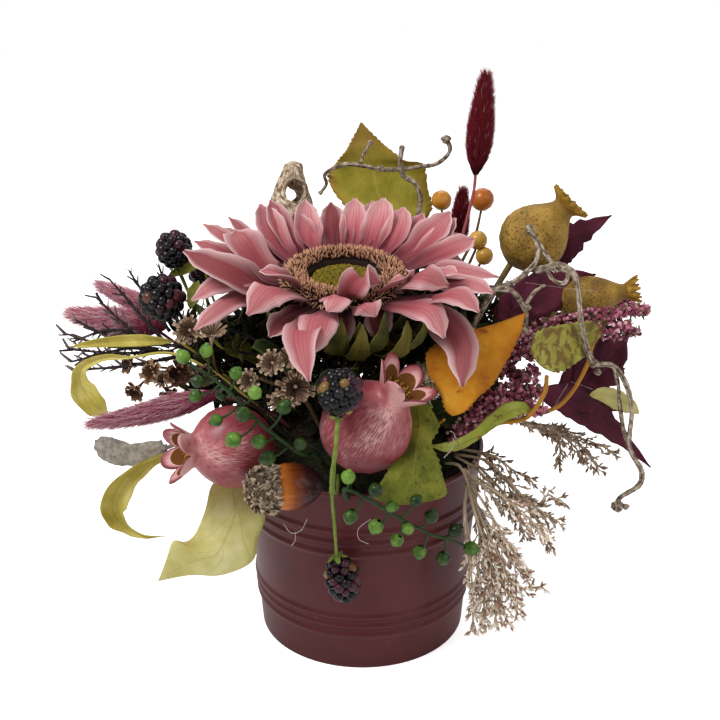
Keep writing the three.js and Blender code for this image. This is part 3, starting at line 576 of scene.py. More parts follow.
def petal_cloth():
    """Dyed polyester craft cloth: dark wine at the root, which is partly painted shade under the ring and
    between the petals, dusty rose, and pale edges and tips, partly the cloth's own and partly a painted
    highlight, with veins pressed in lengthwise and a fine weave."""
    made, tree, shader = material("petal_cloth_with_painted_light", Roughness=0.72, Sheen_Weight=0.25,
                                  Sheen_Roughness=0.5,
                                  Specular_IOR_Level=0.3, Sheen_Tint=srgb("#f0c8cc"))
    uv = add(tree, "UVMap", uv_map="UVMap").outputs[0]
    parts = add(tree, "SeparateXYZ", {0: uv}).outputs
    own = add(tree, "Attribute", attribute_name="shade").outputs["Fac"]
    streaks = lines_of(tree, uv, 16.0, 1.1)
    shift = add(tree, "Math", {0: streaks, 1: 0.34, 2: parts[1]}, operation="MULTIPLY_ADD").outputs[0]
    # The ramp along the petal darkens towards the root, partly as painted shade under the ring and between
    # petals.
    dye = add(tree, "ValToRGB", {"Fac": shift}, stops=[
        (0.18, "#3a0b14"), (0.36, "#6a222c"), (0.56, "#a04751"), (0.78, "#c67278"), (1.0, "#dc9c9e")]
    ).outputs["Color"]
    # Each petal's shade value is painted light and shade: petals facing the lamps are paler, and petals
    # turned away from them or tucked under others are darker.
    depth = add(tree, "ValToRGB", {"Fac": own}, stops=[(0.0, "#84444a"), (0.4, "#d4b2b4"), (0.8, "#ffffff")]
                ).outputs["Color"]
    tinted = add(tree, "Mix", {0: 1.0, 6: dye, 7: depth}, data_type="RGBA", blend_type="MULTIPLY").outputs[2]
    # Pale edges and tips: partly the cloth's own pale edge, partly a painted highlight.
    centred = add(tree, "Math", {0: parts[0], 1: -0.5}, operation="ADD").outputs[0]
    out = add(tree, "Math", {0: centred}, operation="ABSOLUTE").outputs[0]
    rim = add(tree, "MapRange", {"Value": out, "From Min": 0.24, "From Max": 0.5, "To Max": 1.0})
    end = add(tree, "MapRange", {"Value": parts[1], "From Min": 0.25, "From Max": 1.0, "To Min": 0.03})
    pale_edge_and_highlight = add(tree, "Math", {0: rim.outputs[0], 1: end.outputs[0]}, operation="MULTIPLY").outputs[0]
    edged = add(tree, "Mix", {0: pale_edge_and_highlight, 6: tinted, 7: srgb("#f3d2d2")}, data_type="RGBA").outputs[2]
    fine = lines_of(tree, uv, 46.0, 1.6, detail=1.0)
    veins = add(tree, "ValToRGB", {"Fac": fine}, stops=[(0.34, 0.6), (0.47, 0.0)]).outputs["Color"]
    colour = add(tree, "Mix", {0: veins, 6: edged, 7: srgb("#8e3e48")}, data_type="RGBA").outputs[2]
    place = add(tree, "TexCoord").outputs["Object"]
    weave = add(tree, "TexNoise", {"Vector": place, "Scale": 2600.0, "Detail": 1.0}).outputs["Fac"]
    relief = add(tree, "Math", {0: weave, 1: 0.35, 2: fine}, operation="MULTIPLY_ADD").outputs[0]
    return surfaced(made, tree, shader, colour, relief, 0.5, 0.0005)


def along(values, t):
    """A smooth value at t from 0 to 1 of evenly spaced ones."""
    place = t * (len(values) - 1)
    low = min(int(place), len(values) - 2)
    part = place - low
    part = part * part * (3 - 2 * part)
    return values[low] + (values[low + 1] - values[low]) * part


PETAL_OUTLINE = [0.42, 0.6, 0.86, 1.0, 0.98, 0.74, 0.1]


def petal(shell, spine, width, cup, rolls=(0, 0), shade=0.5, outline=PETAL_OUTLINE):
    """One shaped petal. Its spine is in degrees round the flower, reach and rise in millimetres."""
    rows, across = 20, 12
    chance = random.Random(round(spine[-1][0] * 10 + width * 7))
    line = smooth_line([(reach * math.cos(math.radians(a)), reach * math.sin(math.radians(a)), rise)
                        for a, reach, rise in spine], rows + 1)
    middle = math.radians(sum(a for a, _, _ in spine[1:]) / (len(spine) - 1))
    sideways = Vector((math.sin(middle), -math.cos(middle), 0))
    ruffle, phase = chance.uniform(1.5, 2.6), chance.uniform(0, WHOLE_TURN)
    skin = []
    for i, point in enumerate(line):
        t = i / rows
        ahead = (line[min(i + 1, rows)] - line[max(i - 1, 0)]).normalized()
        side = (sideways - ahead * sideways.dot(ahead)).normalized()
        side.rotate(Matrix.Rotation(math.radians(along(rolls, t)), 3, ahead))
        above = side.cross(ahead)
        half = 0.5 * width * MM * along(outline, t)
        swell = math.sin(math.pi * t)
        row = []
        for j in range(across + 1):
            s = 2 * j / across - 1
            lift = half * cup * s * s + 0.32 * MM * math.cos(2.5 * math.pi * s) * swell
            lift += half * 0.16 * math.sin(ruffle * WHOLE_TURN * t + phase + s) * s * s * swell
            row.append(FLOWER @ (point + side * half * s * (1 - 0.18 * cup * s * s) + above * lift))
        skin.append(row)
    shell.grid(skin, shade=shade)


PETAL_DISC = 28
PETAL_ROOT = 26

# Each whorl: the height that it starts at under the ring, and each petal's root angle, the rest of its spine
# to the tip, width, cup, roll from root to tip, and paleness, which paints light and shade petal by petal.
WHORLS = (("upper", -1.4, [
    (199, [(196, 44, 1), (188, 62, 9), (179, 83, 16.5)], 22, 0.4, (-16, -34), 0.12),
    (186, [(180, 41, 3), (166, 55, 14), (156, 64, 17)], 23, 0.45, (-8, -24), 0.3),
    (146, [(141, 44, 3.5), (134, 60, 12), (131, 72, 21)], 19, 0.45, (0, -10), 0.5),
    (121, [(117, 44, 3.5), (112, 58, 11), (109, 69, 19)], 18, 0.4, (0, 12), 0.75),
    (86, [(85, 44, 3.5), (85, 59, 11), (85, 68, 19)], 16, 0.4, (0, 0), 0.75),
    (67, [(69, 44, 3.5), (70, 59, 12), (71, 68, 20.6)], 19, 0.4, (0, 0), 0.8),
    (52, [(55, 44, 3.5), (58, 58, 10.5), (60, 66, 18)], 17, 0.4, (0, 8), 0.7),
    (33, [(34, 46, 4), (36, 62, 12), (37, 73, 20.8)], 21, 0.4, (0, 14), 0.5),
    (12, [(13, 48, 8), (16, 62, 11), (19, 74, 13.5)], 17, 0.3, (0, 26), 0.5),
    (-27, [(-29, 38, 9), (-34, 50, 18), (-28, 60, 11)], 19, -0.25, (-10, 20), 0.4),
    (-52, [(-48, 33, 7), (-34, 38, 11.5), (-20, 39, 12.5)], 9, 0.5, (0, 20), 0.55),
    (-86, [(-86, 33, 9), (-71, 29, 15), (-50, 30, 10)], 15, -0.3, (0, -18), 0.35),
    (-104, [(-98, 33, 8), (-95, 42, 10.5), (-99, 47, 6)], 15, -0.35, (0, 10), 0.6),
    (-130, [(-131, 40, 8.5), (-132, 55, 15.5), (-136, 65, 3.5)], 20, -0.3, (10, -16), 0.42),
    (-150, [(-140, 34, 9), (-141, 42, 16), (-148, 49, 18)], 13, 0.5, (0, -20), 0.4),
]),
("middle", -2.8, [
    (172, [(172, 48, 4), (172, 66, 12), (171, 80, 17)], 13, 0.3, (0, -20), 0.35),
    (160, [(161, 48, 5), (161, 66, 14), (161, 80, 21)], 12, 0.3, (0, -14), 0.45),
    (150, [(150, 46, 4), (149, 62, 12), (149, 74, 20)], 12, 0.3, (0, 0), 0.3),
    (132, [(130, 46, 4), (128, 60, 14), (127, 69, 23)], 16, 0.4, (0, -8), 0.35),
    (111, [(114, 44, 3), (116, 56, 9), (117, 63, 15.5)], 14, 0.4, (0, 0), 0.4),
    (99, [(98, 44, 3), (97, 57, 9), (97, 66, 17.5)], 17, 0.35, (0, 0), 0.1),
    (76, [(77, 46, 3), (77, 62, 9), (77, 72, 16.5)], 15, 0.35, (0, 0), 0.6),
    (46, [(49, 46, 2), (51, 62, 8), (52, 72, 14.5)], 14, 0.35, (0, 0), 0.4),
    (27, [(30, 48, 3), (33, 64, 11), (34, 74, 18)], 14, 0.3, (0, 16), 0.8),
    (22, [(24, 46, 1.5), (20, 58, 4), (17, 66, 3)], 15, 0.2, (0, 20), 0.5),
    (-8, [(-6, 44, 5), (-5, 60, 7.5), (-3, 81, 4)], 16, 0.25, (0, 12), 0.5),
    (-12, [(-16, 42, 7), (-19, 54, 13), (-21, 62, 15)], 12, 0.2, (0, 10), 0.6),
    (-37, [(-36, 50, 5), (-36, 70, 13), (-38, 84, 8.5)], 14, -0.2, (0, 18), 0.42),
    (-50, [(-48, 45, 3), (-46, 62, 6), (-47, 73, -5)], 16, -0.2, (6, 16), 0.55),
    (-71, [(-73, 36, 4), (-73, 43, 7), (-69, 46, 1.5)], 15, -0.3, (0, 16), 0.55),
    (-103, [(-103, 44, 3), (-102, 58, 5), (-104, 69, -8)], 19, -0.3, (0, -8), 0.42),
    (-121, [(-124, 40, -2), (-127, 50, -4), (-129, 58, -9)], 17, 0.2, (0, 0), 0.1),
    (-170, [(-171, 46, 4), (-172, 64, 4), (-170, 80, -4.5)], 14, -0.15, (0, -30), 0.5),
]),
("lower", -4.2, [
    (150, [(151, 50, 2), (152, 66, 8), (153, 79, 15)], 15, 0.3, (0, 0), 0.3),
    (124, [(124, 48, -1), (123, 66, 3), (122, 80, 2)], 18, 0.25, (0, 0), 0.3),
    (92, [(92, 48, -1), (91, 66, 2), (90, 79, 0)], 18, 0.25, (0, 0), 0.4),
    (60, [(61, 48, -1), (62, 66, 3), (63, 79, 2)], 18, 0.25, (0, 0), 0.4),
    (34, [(35, 48, 0), (36, 66, 5), (36, 80, 6)], 17, 0.25, (0, 0), 0.4),
    (5, [(7, 46, -1), (9, 62, 1), (10, 76, -3)], 16, 0.2, (0, 10), 0.3),
    (-12, [(-12, 46, 2), (-15, 64, 6), (-22, 81, 8)], 15, 0.2, (0, 16), 0.5),
    (-24, [(-26, 52, -7), (-36, 73, -13), (-46, 85, -28)], 20, -0.25, (10, 24), 0.22),
    (-60, [(-60, 33, -5), (-60, 36, -10), (-60, 37, -17)], 17, 0.2, (0, 0), 0.0),
    (-93, [(-93, 32, -5), (-93, 36, -10), (-93, 37, -19)], 17, 0.2, (0, 0), 0.0),
    (-110, [(-109, 48, -1), (-107, 66, 1), (-101, 81, -14)], 19, 0.3, (0, 8), 0.4),
    (-166, [(-168, 44, -3), (-164, 62, -4), (-152, 84, -8)], 15, -0.15, (0, -16), 0.5),
]))
cloth = petal_cloth()
for name, root, layer in WHORLS:
    shell = Shell()
    for angle, spine, *shape in layer:
        petal(shell, [(angle, PETAL_ROOT, root)] + spine, *shape)
    turned(shell, [(PETAL_DISC * MM, root * MM), (0, root * MM)], 32, FLOWER)
    settle(shell.made(f"petals_{name}", cloth, thickness=CLOTH), "petal_cloth", f"sunflower_petals_{name}")


def tipped(name, dark, middle, tip, rough=0.85):
    """Dyed nylon bristles or stiff hairs: dark at the root and lighter at the tip, each a little
    different."""
    made, tree, shader = material(name, Roughness=rough, Specular_IOR_Level=0.2)
    own = add(tree, "Attribute", attribute_name="shade").outputs["Fac"]
    uv = add(tree, "UVMap", uv_map="UVMap").outputs[0]
    height = add(tree, "SeparateXYZ", {0: uv}).outputs[1]
    part = add(tree, "Math", {0: own, 1: -0.25}, operation="ADD").outputs[0]
    moved = add(tree, "Math", {0: part, 1: 0.7, 2: height}, operation="MULTIPLY_ADD").outputs[0]
    tint = add(tree, "ValToRGB", {"Fac": moved}, stops=[(0.25, dark), (0.6, middle), (1.0, tip)])
    tree.links.new(tint.outputs["Color"], shader.inputs["Base Color"])
    return made


disc = Shell()
RING = [(31.0, 0.4), (31.4, 1.8), (30.4, 3.6), (28, 4.8), (25.5, 5.1), (23, 4.6), (20.6, 3.4)]
RING_WALL = [(19, 2.2), (17.8, 0.3), (31.0, 0.3)]
turned(disc, [(r * MM, z * MM) for r, z in RING], 64, FLOWER)
# The felt under the bristles is near black: painted shade for the ring's inner wall, which shows as a dark
# band round the olive middle.
ring_felt_and_shade = shaded("brown_felt", [(0.0, "#20120c"), (1.0, "#3d2317")])
brown_bristle = tipped("brown_nylon_bristle", "#1e100a", "#6d4130", "#d9a685")
bristle = small_rod([(0, 0, 0), (0, 0, 1.5), (0.15, 0, 3.2)], [0.28, 0.34, 0.1], sides=4, steps=4)
standing = copies("standing_bristles", disc.made("ring"), SCATTERED, bristle, brown_bristle,
                  Size=1.0, Size_Spread=0.3, Lean=0.35, Density=1150000.0, Seed=5)
felt = Shell()
turned(felt, [(r * MM, z * MM) for r, z in RING + RING_WALL + RING[:1]], 64, FLOWER)
settle(joined("bristle_ring", felt.made("felt", ring_felt_and_shade), standing), "bristle", "sunflower_bristle_ring")

middle = Shell()
DOME = [(16.8, 0.2), (16, 0.7), (12, 1.2), (6, 1.5), (0, 1.6)]
turned(middle, [(r * MM, z * MM) for r, z in DOME], 40, FLOWER)
olive_flock = tipped("olive_flock", "#262008", "#5a4d12", "#8d7c26")
grain = small_rod([(0, 0, -0.3), (0, 0, 0.5), (0, 0, 1.3)], [0.3, 0.42, 0.12], sides=4, steps=3)
flock = copies("flock_grains", middle.made("middle"), SCATTERED, grain, olive_flock,
               Size=1.0, Size_Spread=0.35, Lean=0.3, Density=2200000.0, Seed=8)
pad = Shell()
turned(pad, [(0, 0.1 * MM)] + [(r * MM, z * MM) for r, z in DOME], 40, FLOWER)
settle(joined("flock_middle", pad.made("pad", olive_flock), flock), "disc_flock", "sunflower_centre")
bpy.data.objects.remove(bristle)
bpy.data.objects.remove(grain)


def leaf_cloth(name, stops, vein, edge, edge_amount=0.5, side_veins=7.0, slant=1.3, vein_amount=0.5,
               spots=None,
               rough=0.65, relief=0.4, tip=None):
    """Printed craft cloth for leaves and sepals: mottled dye, a pressed midrib and slanting side veins, and
    edges where the dye or the leaf has browned."""
    made, tree, shader = material(name, Roughness=rough, Specular_IOR_Level=0.2)
    uv = add(tree, "UVMap", uv_map="UVMap").outputs[0]
    place = add(tree, "TexCoord").outputs["Object"]
    own = add(tree, "Attribute", attribute_name="shade").outputs["Fac"]
    parts = add(tree, "SeparateXYZ", {0: uv}).outputs
    cloud = add(tree, "TexNoise", {"Vector": place, "Scale": 60.0, "Detail": 6.0, "Roughness": 0.6})
    shade = add(tree, "Math", {0: own, 1: -0.5}, operation="ADD").outputs[0]
    mottled = add(tree, "Math", {0: shade, 1: 0.5, 2: cloud.outputs["Fac"]}, operation="MULTIPLY_ADD")
    dye = add(tree, "ValToRGB", {"Fac": mottled.outputs[0]}, stops=stops).outputs["Color"]
    centred = add(tree, "Math", {0: parts[0], 1: -0.5}, operation="ADD").outputs[0]
    out = add(tree, "Math", {0: centred}, operation="ABSOLUTE").outputs[0]
    rib = add(tree, "MapRange", {"Value": out, "From Min": 0.028, "From Max": 0.0}).outputs[0]
    back = add(tree, "Math", {0: out, 1: -slant * side_veins}, operation="MULTIPLY").outputs[0]
    bent = add(tree, "Math", {0: parts[1], 1: side_veins, 2: back}, operation="MULTIPLY_ADD").outputs[0]
    turns = add(tree, "Math", {0: bent, 1: 0.5}, operation="PINGPONG").outputs[0]
    side = add(tree, "MapRange", {"Value": turns, "From Min": 0.07, "From Max": 0.0, "To Max": 0.6})
    veins = add(tree, "Math", {0: rib, 1: side.outputs[0]}, operation="MAXIMUM").outputs[0]
    drawn = add(tree, "Math", {0: veins, 1: vein_amount}, operation="MULTIPLY").outputs[0]
    colour = add(tree, "Mix", {0: drawn, 6: dye, 7: srgb(vein)}, data_type="RGBA").outputs[2]
    stir = add(tree, "Math", {0: cloud.outputs["Fac"], 1: 0.22, 2: out}, operation="MULTIPLY_ADD")
    rim = add(tree, "MapRange", {"Value": stir.outputs[0], "From Min": 0.5, "From Max": 0.64,
                                           "To Max": edge_amount})
    colour = add(tree, "Mix", {0: rim.outputs[0], 6: colour, 7: srgb(edge)}, data_type="RGBA").outputs[2]
    if spots:
        colour_of, size, share = spots
        cells = add(tree, "TexNoise", {"Vector": place, "Scale": size, "Detail": 4.0})
        mark = add(tree, "MapRange", {"Value": cells.outputs["Fac"], "From Min": 1 - share,
                                                "From Max": 1.06 - share, "To Max": 0.8})
        colour = add(tree, "Mix", {0: mark.outputs[0], 6: colour, 7: srgb(colour_of)},
                     data_type="RGBA").outputs[2]
    if tip:
        end = add(tree, "MapRange", {"Value": parts[1], "From Min": 0.5, "From Max": 0.85, "To Max": 0.7})
        colour = add(tree, "Mix", {0: end.outputs[0], 6: colour, 7: srgb(tip)}, data_type="RGBA").outputs[2]
    fine = add(tree, "TexNoise", {"Vector": place, "Scale": 1400.0, "Detail": 2.0}).outputs["Fac"]
    height = add(tree, "Math", {0: fine, 1: 0.35, 2: veins}, operation="MULTIPLY_ADD").outputs[0]
    return surfaced(made, tree, shader, colour, height, relief, 0.0006)


sepal_cloth = leaf_cloth("green_sepal_cloth", [(0.3, "#2b2e10"), (0.5, "#484a1b"), (0.7, "#6f6529")],
                         "#34350f",
                         "#8f8a45", side_veins=1.0, slant=0.0, vein_amount=0.6)
cup = Shell()
turned(cup, [(2.6 * MM, -25 * MM), (7 * MM, -25.1 * MM), (13 * MM, -21 * MM), (18 * MM, -13 * MM),
             (21 * MM, -5.6 * MM)], 40, FLOWER)
SEPAL_OUTLINE = [0.7, 0.95, 1.0, 0.9, 0.66, 0.36, 0.05]
for k in range(16):
    sweep = -79 + 22.5 * k
    long = 1 + 0.12 * math.sin(5 * k)
    petal(cup, [(sweep, 12, -25.2), (sweep, 27, -24), (sweep + 2, 38 * long, -15), (sweep, 44 * long, -1.5)],
          15, 0.35, (0, 9 * math.sin(3 * k)), 0.5 + 0.3 * math.sin(2 * k), SEPAL_OUTLINE)
for sweep, reach, lift in ((-94, 40, 0), (-80, 43, -3), (-66, 45, 2), (-53, 49, -3), (-41, 52, 1)):
    petal(cup, [(sweep, 12, -25.2), (sweep, 27, -28), (sweep, reach - 3, -23 + lift),
                (sweep + 2, reach + 2, -11 + lift),
                (sweep + 3, reach + 1, 0 + lift)], 17, 0.3, (0, 5 * lift), 0.6 - 0.06 * lift,
          [0.8, 1.0, 1.0, 0.86, 0.62, 0.34, 0.05])
settle(cup.made("sepal_cup", sepal_cloth, thickness=CLOTH), "sepal_cloth", "sunflower_calyx")

green_wire = shaded("green_coated_wire", [(0.0, "#33431f"), (1.0, "#5f7a36")], rough=0.5)
stem = Shell()
rod(stem, smooth_line([(-10, -15.8, 202), (-9, -14, 184), (-7, -10, 150), (-5, -6, 112)], 16), [2.2 * MM], 12)
settle(stem.made("flower_stem", green_wire), "coated_wire", "sunflower_stem")

# ---- Pomegranates ----
# Two light craft fruits of moulded foam on wooden picks, brushed rose-pink over cream, with fine wine-red
# streaks from pole to pole. The toothed crown is hollow and golden inside, with a tuft of stamens.

FRUIT_RADIUS = 22 * MM
FRUIT_SIDES = 84
STAMENS = 90
STAMEN_FOOT = 1.02
CUP_FLOOR = 0.33
TURN_STEP = 2.4
FRUIT_OUTLINE = [(0, -1.0), (0.2, -0.985), (0.42, -0.92), (0.64, -0.79), (0.82, -0.6), (0.95, -0.33),
                 (1.0, -0.03),
                 (0.97, 0.24), (0.88, 0.49), (0.73, 0.7), (0.58, 0.84), (0.47, 0.93), (0.42, 1.0),
                 (0.42, 1.06), (0.45, 1.12)]


def axis_frame(point, axis, spin=0.0):
    """A place whose Z runs along an axis from a point in millimetres."""
    turn = Vector(axis).to_track_quat("Z", "Y").to_matrix().to_4x4()
    return Matrix.Translation(Vector(point) * MM) @ turn @ Matrix.Rotation(spin, 4, "Z")


def brushed_fruit():
    """Water-based paint brushed on moulded foam, with a satin varnish. Painted light: the ground is paler
    towards the crown as a painted highlight and darker towards the bottom as painted shade, where the dark
    streaks gather too.
    """
    made, tree, shader = material("rose_paint_with_painted_light", Roughness=0.42, Specular_IOR_Level=0.35,
                                  Coat_Weight=0.25,
                                  Coat_Roughness=0.25)
    uv = add(tree, "UVMap", uv_map="UVMap").outputs[0]
    place = add(tree, "TexCoord").outputs["Object"]
    cloud = add(tree, "TexNoise", {"Vector": place, "Scale": 55.0, "Detail": 3.0}).outputs["Fac"]
    streak = lines_of(tree, uv, 300.0, 22.0, detail=3.0)
    height = add(tree, "SeparateXYZ", {0: uv}).outputs[1]
    # Painted highlight and shade by height: pale pink near the crown, dark wine low on the fruit.
    pale = add(tree, "Math", {0: height, 1: 0.34, 2: cloud}, operation="MULTIPLY_ADD").outputs[0]
    ground = add(tree, "ValToRGB", {"Fac": pale}, stops=[
        (0.36, "#6a2029"), (0.54, "#8f3a43"), (0.68, "#b26367"), (0.79, "#d8a09e"), (0.9, "#dca9a6"),
        (1.0, "#b4686a")]).outputs["Color"]
    # The dark streaks gather low on the fruit, which adds to the painted shade there.
    low = add(tree, "Math", {0: height, 1: 0.42, 2: streak}, operation="MULTIPLY_ADD").outputs[0]
    thick = add(tree, "Math", {0: cloud, 1: -0.25, 2: low}, operation="MULTIPLY_ADD").outputs[0]
    drawn = add(tree, "MapRange", {"Value": thick, "From Min": 0.57, "From Max": 0.48, "To Max": 0.8})
    colour = add(tree, "Mix", {0: drawn.outputs[0], 6: ground, 7: srgb("#74202a")},
                 data_type="RGBA").outputs[2]
    spots = add(tree, "TexNoise", {"Vector": place, "Scale": 190.0, "Detail": 2.0}).outputs["Fac"]
    freckle = add(tree, "MapRange", {"Value": spots, "From Min": 0.66, "From Max": 0.72, "To Max": 0.6})
    colour = add(tree, "Mix", {0: freckle.outputs[0], 6: colour, 7: srgb("#7c222b")},
                 data_type="RGBA").outputs[2]
    return surfaced(made, tree, shader, colour, streak, 0.18, 0.0006)


rose_paint = brushed_fruit()
gold_inside = shaded("golden_brown_velvet_paint", [(0.1, "#6b4018"), (0.5, "#a26c2a"), (0.9, "#d6a544")],
                     scale=500.0)
wooden_pick = shaded("wooden_pick", [(0.0, "#4a3a28"), (1.0, "#7b6649")])


def pomegranate(name, centre, axis, size, stem, spin):
    """The skin runs up the outside of the crown's teeth and down inside them to the cup's floor."""
    radius = FRUIT_RADIUS * size
    stand = axis_frame(centre, axis, spin)
    chance = random.Random(name)
    lobes = [chance.uniform(0.8, 1.2) for _ in range(6)]

    def row(out, height, tooth_part=0.0, inside=0.0):
        points = []
        swell = math.sin(math.pi * min(1, max(0, (height + 1) / 2.2)))
        for side in range(FRUIT_SIDES):
            angle = WHOLE_TURN * side / FRUIT_SIDES
            place = 6 * side / FRUIT_SIDES
            tooth = math.sin(math.pi * (place % 1)) ** 0.75 * lobes[int(place)]
            rise = tooth_part * (0.14 + 0.32 * tooth)
            wide = out + 0.62 * rise - inside
            bulge = 1 + 0.022 * math.cos(6 * angle + 0.5) * swell
            points.append(stand @ Vector((radius * wide * bulge * math.cos(angle),
                                          radius * wide * bulge * math.sin(angle), radius * (height + rise))))
        return points

    shell = Shell()
    skin = [row(out, height) for out, height in FRUIT_OUTLINE]
    skin += [row(0.45, 1.12, part) for part in (0.2, 0.4, 0.6, 0.8, 1.0)]
    shell.grid(skin, closed=True)
    lip = [row(0.45, 1.12, part, 0.07) for part in (0.97, 0.8, 0.6)]
    shell.grid([skin[-1]] + lip, closed=True)
    inner = [row(0.45, 1.12, part, 0.08) for part in (0.4, 0.2, 0.0)]
    inner += [row(CUP_FLOOR, 1.05), row(0.16, 1.0), row(0, 0.98)]
    shell.grid([lip[-1]] + inner, closed=True, part=1, shade=0.85)
    rod(shell, smooth_line(stem, 10), [1.5 * MM], part=2)
    fruit = shell.made("fruit", rose_paint, gold_inside, wooden_pick)
    stamen = small_rod([(0, 0, 0), (0.3, 0, 2.4), (0.9, 0, 4.2)], [0.22, 0.18, 0.42], sides=4, steps=5)
    floor_at = []
    for k in range(STAMENS):
        reach = radius * CUP_FLOOR * math.sqrt(k / STAMENS)
        floor_at.append(stand @ Vector((reach * math.cos(TURN_STEP * k), reach * math.sin(TURN_STEP * k),
                                        radius * STAMEN_FOOT)))
    up = stand.to_3x3() @ Vector((0, 0, 1))
    tuft = placed("tuft", [(point, up, 1.0, None) for point in floor_at], stamen, gold_inside,
                  Size_Spread=0.3, Lean=0.5, Seed=4)
    bpy.data.objects.remove(stamen)
    settle(joined(f"fruit_{name}", fruit, tuft), "painted_fruit", f"pomegranate_{name}")


pomegranate("right", (1.6, -72, 153.5), (0.58, -0.16, 0.8), 1.06,
            [(0, -68, 135), (0.5, -58, 124), (2, -38, 108)], 0.4)
pomegranate("left", (-67.3, -60, 136.7), (-0.86, -0.46, 0.12), 0.97,
            [(-58, -53, 133), (-50, -42, 128), (-38, -28, 118)], 0.2)

# ---- Acorn ----
# A large craft acorn lying on its side: a lacquered nut dyed from amber at the cup to dark aubergine at the
# tip, glued in a cup covered with rows of rough grey-brown scales.

ACORN = axis_frame((-57.5, -92, 127.5), (0.95, 0.3, -0.04))
CUP = [(0, 0), (4.5, 0.5), (8.2, 2.2), (10.6, 5), (11.9, 9), (12.2, 12), (11.7, 15), (10.4, 15.3), (9.6, 10),
       (0, 6.6)]
NUT = [(0, 6.9), (9.1, 8.4), (9.6, 14), (11.0, 16), (11.9, 20), (11.9, 24.5), (10.9, 29), (8.8, 33.4),
       (5.8, 37),
       (2.6, 39.2), (0.9, 40), (0.5, 41), (0, 41.2)]


def lacquered_nut():
    """Clear lacquer over dye on turned wood: sharp soft-box highlights, and fine lengthwise grain below
    them."""
    made, tree, shader = material("lacquered_dyed_wood", Roughness=0.5, Specular_IOR_Level=0.15,
                                  Coat_Weight=0.3,
                                  Coat_Roughness=0.06)
    uv = add(tree, "UVMap", uv_map="UVMap").outputs[0]
    streak = lines_of(tree, uv, 40.0, 2.0, detail=4.0)
    height = add(tree, "SeparateXYZ", {0: uv}).outputs[1]
    shift = add(tree, "Math", {0: streak, 1: 0.1, 2: height}, operation="MULTIPLY_ADD").outputs[0]
    dye = add(tree, "ValToRGB", {"Fac": shift}, stops=[
        (0.12, "#a8590f"), (0.31, "#c87019"), (0.43, "#76350f"), (0.55, "#361518"), (0.85, "#180b10")])
    tree.links.new(dye.outputs["Color"], shader.inputs["Base Color"])
    return made


nut = Shell()
turned(nut, [(r * MM, z * MM) for r, z in NUT], 48, ACORN)
settle(nut.made("lacquered_nut", lacquered_nut()), "acorn_lacquer", "acorn_nut")

scale_brown = shaded("dried_cup_scales", [(0.0, "#55473a"), (0.5, "#937f69"), (1.0, "#bfab92")], scale=400.0)
cup = Shell()
turned(cup, [(r * MM, z * MM) for r, z in CUP], 40, ACORN)
rod(cup, smooth_line([(-54, -82, 124), (-49, -68, 121), (-34, -42, 117)], 8), [0.9 * MM], shade=0.2)
tongue = Shell()
tongue.grid([[Vector((x * MM, y * w * MM, z * MM)) for y in (-1, -0.4, 0.4, 1)]
             for x, w, z in ((-1.0, 0.7, -0.2), (0.0, 1.0, 0.5), (0.9, 0.7, 0.95), (1.5, 0.1, 1.1))])
tongue.grid([[Vector((x * MM, y * w * MM, z * MM)) for y in (1, -1)]
             for x, w, z in ((-1.0, 0.7, -0.2), (0.0, 1.0, 0.1), (0.9, 0.7, 0.6), (1.5, 0.1, 1.1))])
tongue = tongue.made("tongue")
scales = []
chance = random.Random(12)
SCALE_COUNT = 420
GOLDEN_ANGLE = 2.39996
for k in range(SCALE_COUNT):
    t = (k + 1) / SCALE_COUNT
    reach = t ** 0.62 * (len(CUP) - 4.2)
    low = int(reach)
    (r0, z0), (r1, z1) = CUP[low], CUP[low + 1]
    part = reach - low
    r, z = (r0 + (r1 - r0) * part) * MM, (z0 + (z1 - z0) * part) * MM
    angle = GOLDEN_ANGLE * k + chance.uniform(-0.12, 0.12)
    spoke = Vector((math.cos(angle), math.sin(angle), 0))
    out = (spoke * (z1 - z0) + Vector((0, 0, -(r1 - r0)))).normalized()
    ahead = (spoke * (r1 - r0) + Vector((0, 0, z1 - z0))).normalized()
    scales.append((ACORN @ (spoke * r + Vector((0, 0, z))), ACORN.to_3x3() @ out, chance.uniform(0.7, 1.2),
                   ACORN.to_3x3() @ ahead))
rows_of_scales = placed("scales", scales, tongue, scale_brown, Size_Spread=0.3, Lean=0.8, Seed=11)
bpy.data.objects.remove(tongue)
settle(joined("scaly_cup", cup.made("cup", scale_brown), rows_of_scales), "acorn_cup_grain", "acorn_cup")

# ---- Brambles ----
# Moulded glossy drupelets, nearly black with a few wine-red and unripe tan ones, on flocked green wires. The
# front spray bends over the fruits and lets one berry hang down over the bucket on a thin stalk.

drupelet = Shell()
turned(drupelet, [(math.sin(math.pi * k / 7) * MM, -math.cos(math.pi * k / 7) * MM) for k in range(8)], 10)
drupelet = drupelet.made("drupelet")
bramble_black = shaded("glossy_moulded_bramble", [(0.0, "#060508"), (0.66, "#0f0a10"), (0.84, "#2a0d18"),
                                                  (0.96, "#4d1c28"), (1.0, "#6b4c2c")],
                       rough=0.25, spread=0.02, Coat_Weight=0.15, Coat_Roughness=0.15)
bramble_ripening = shaded("half_ripe_moulded_bramble", [(0.0, "#050507"), (0.44, "#0e0d11"), (0.5, "#3a1a26"),
                                                        (0.68, "#502936"), (0.71, "#060608"),
                                                        (0.9, "#131217"),
                                                        (0.95, "#75542f"), (1.0, "#94753f")],
                          rough=0.25, spread=0.02, Coat_Weight=0.08, Coat_Roughness=0.15)


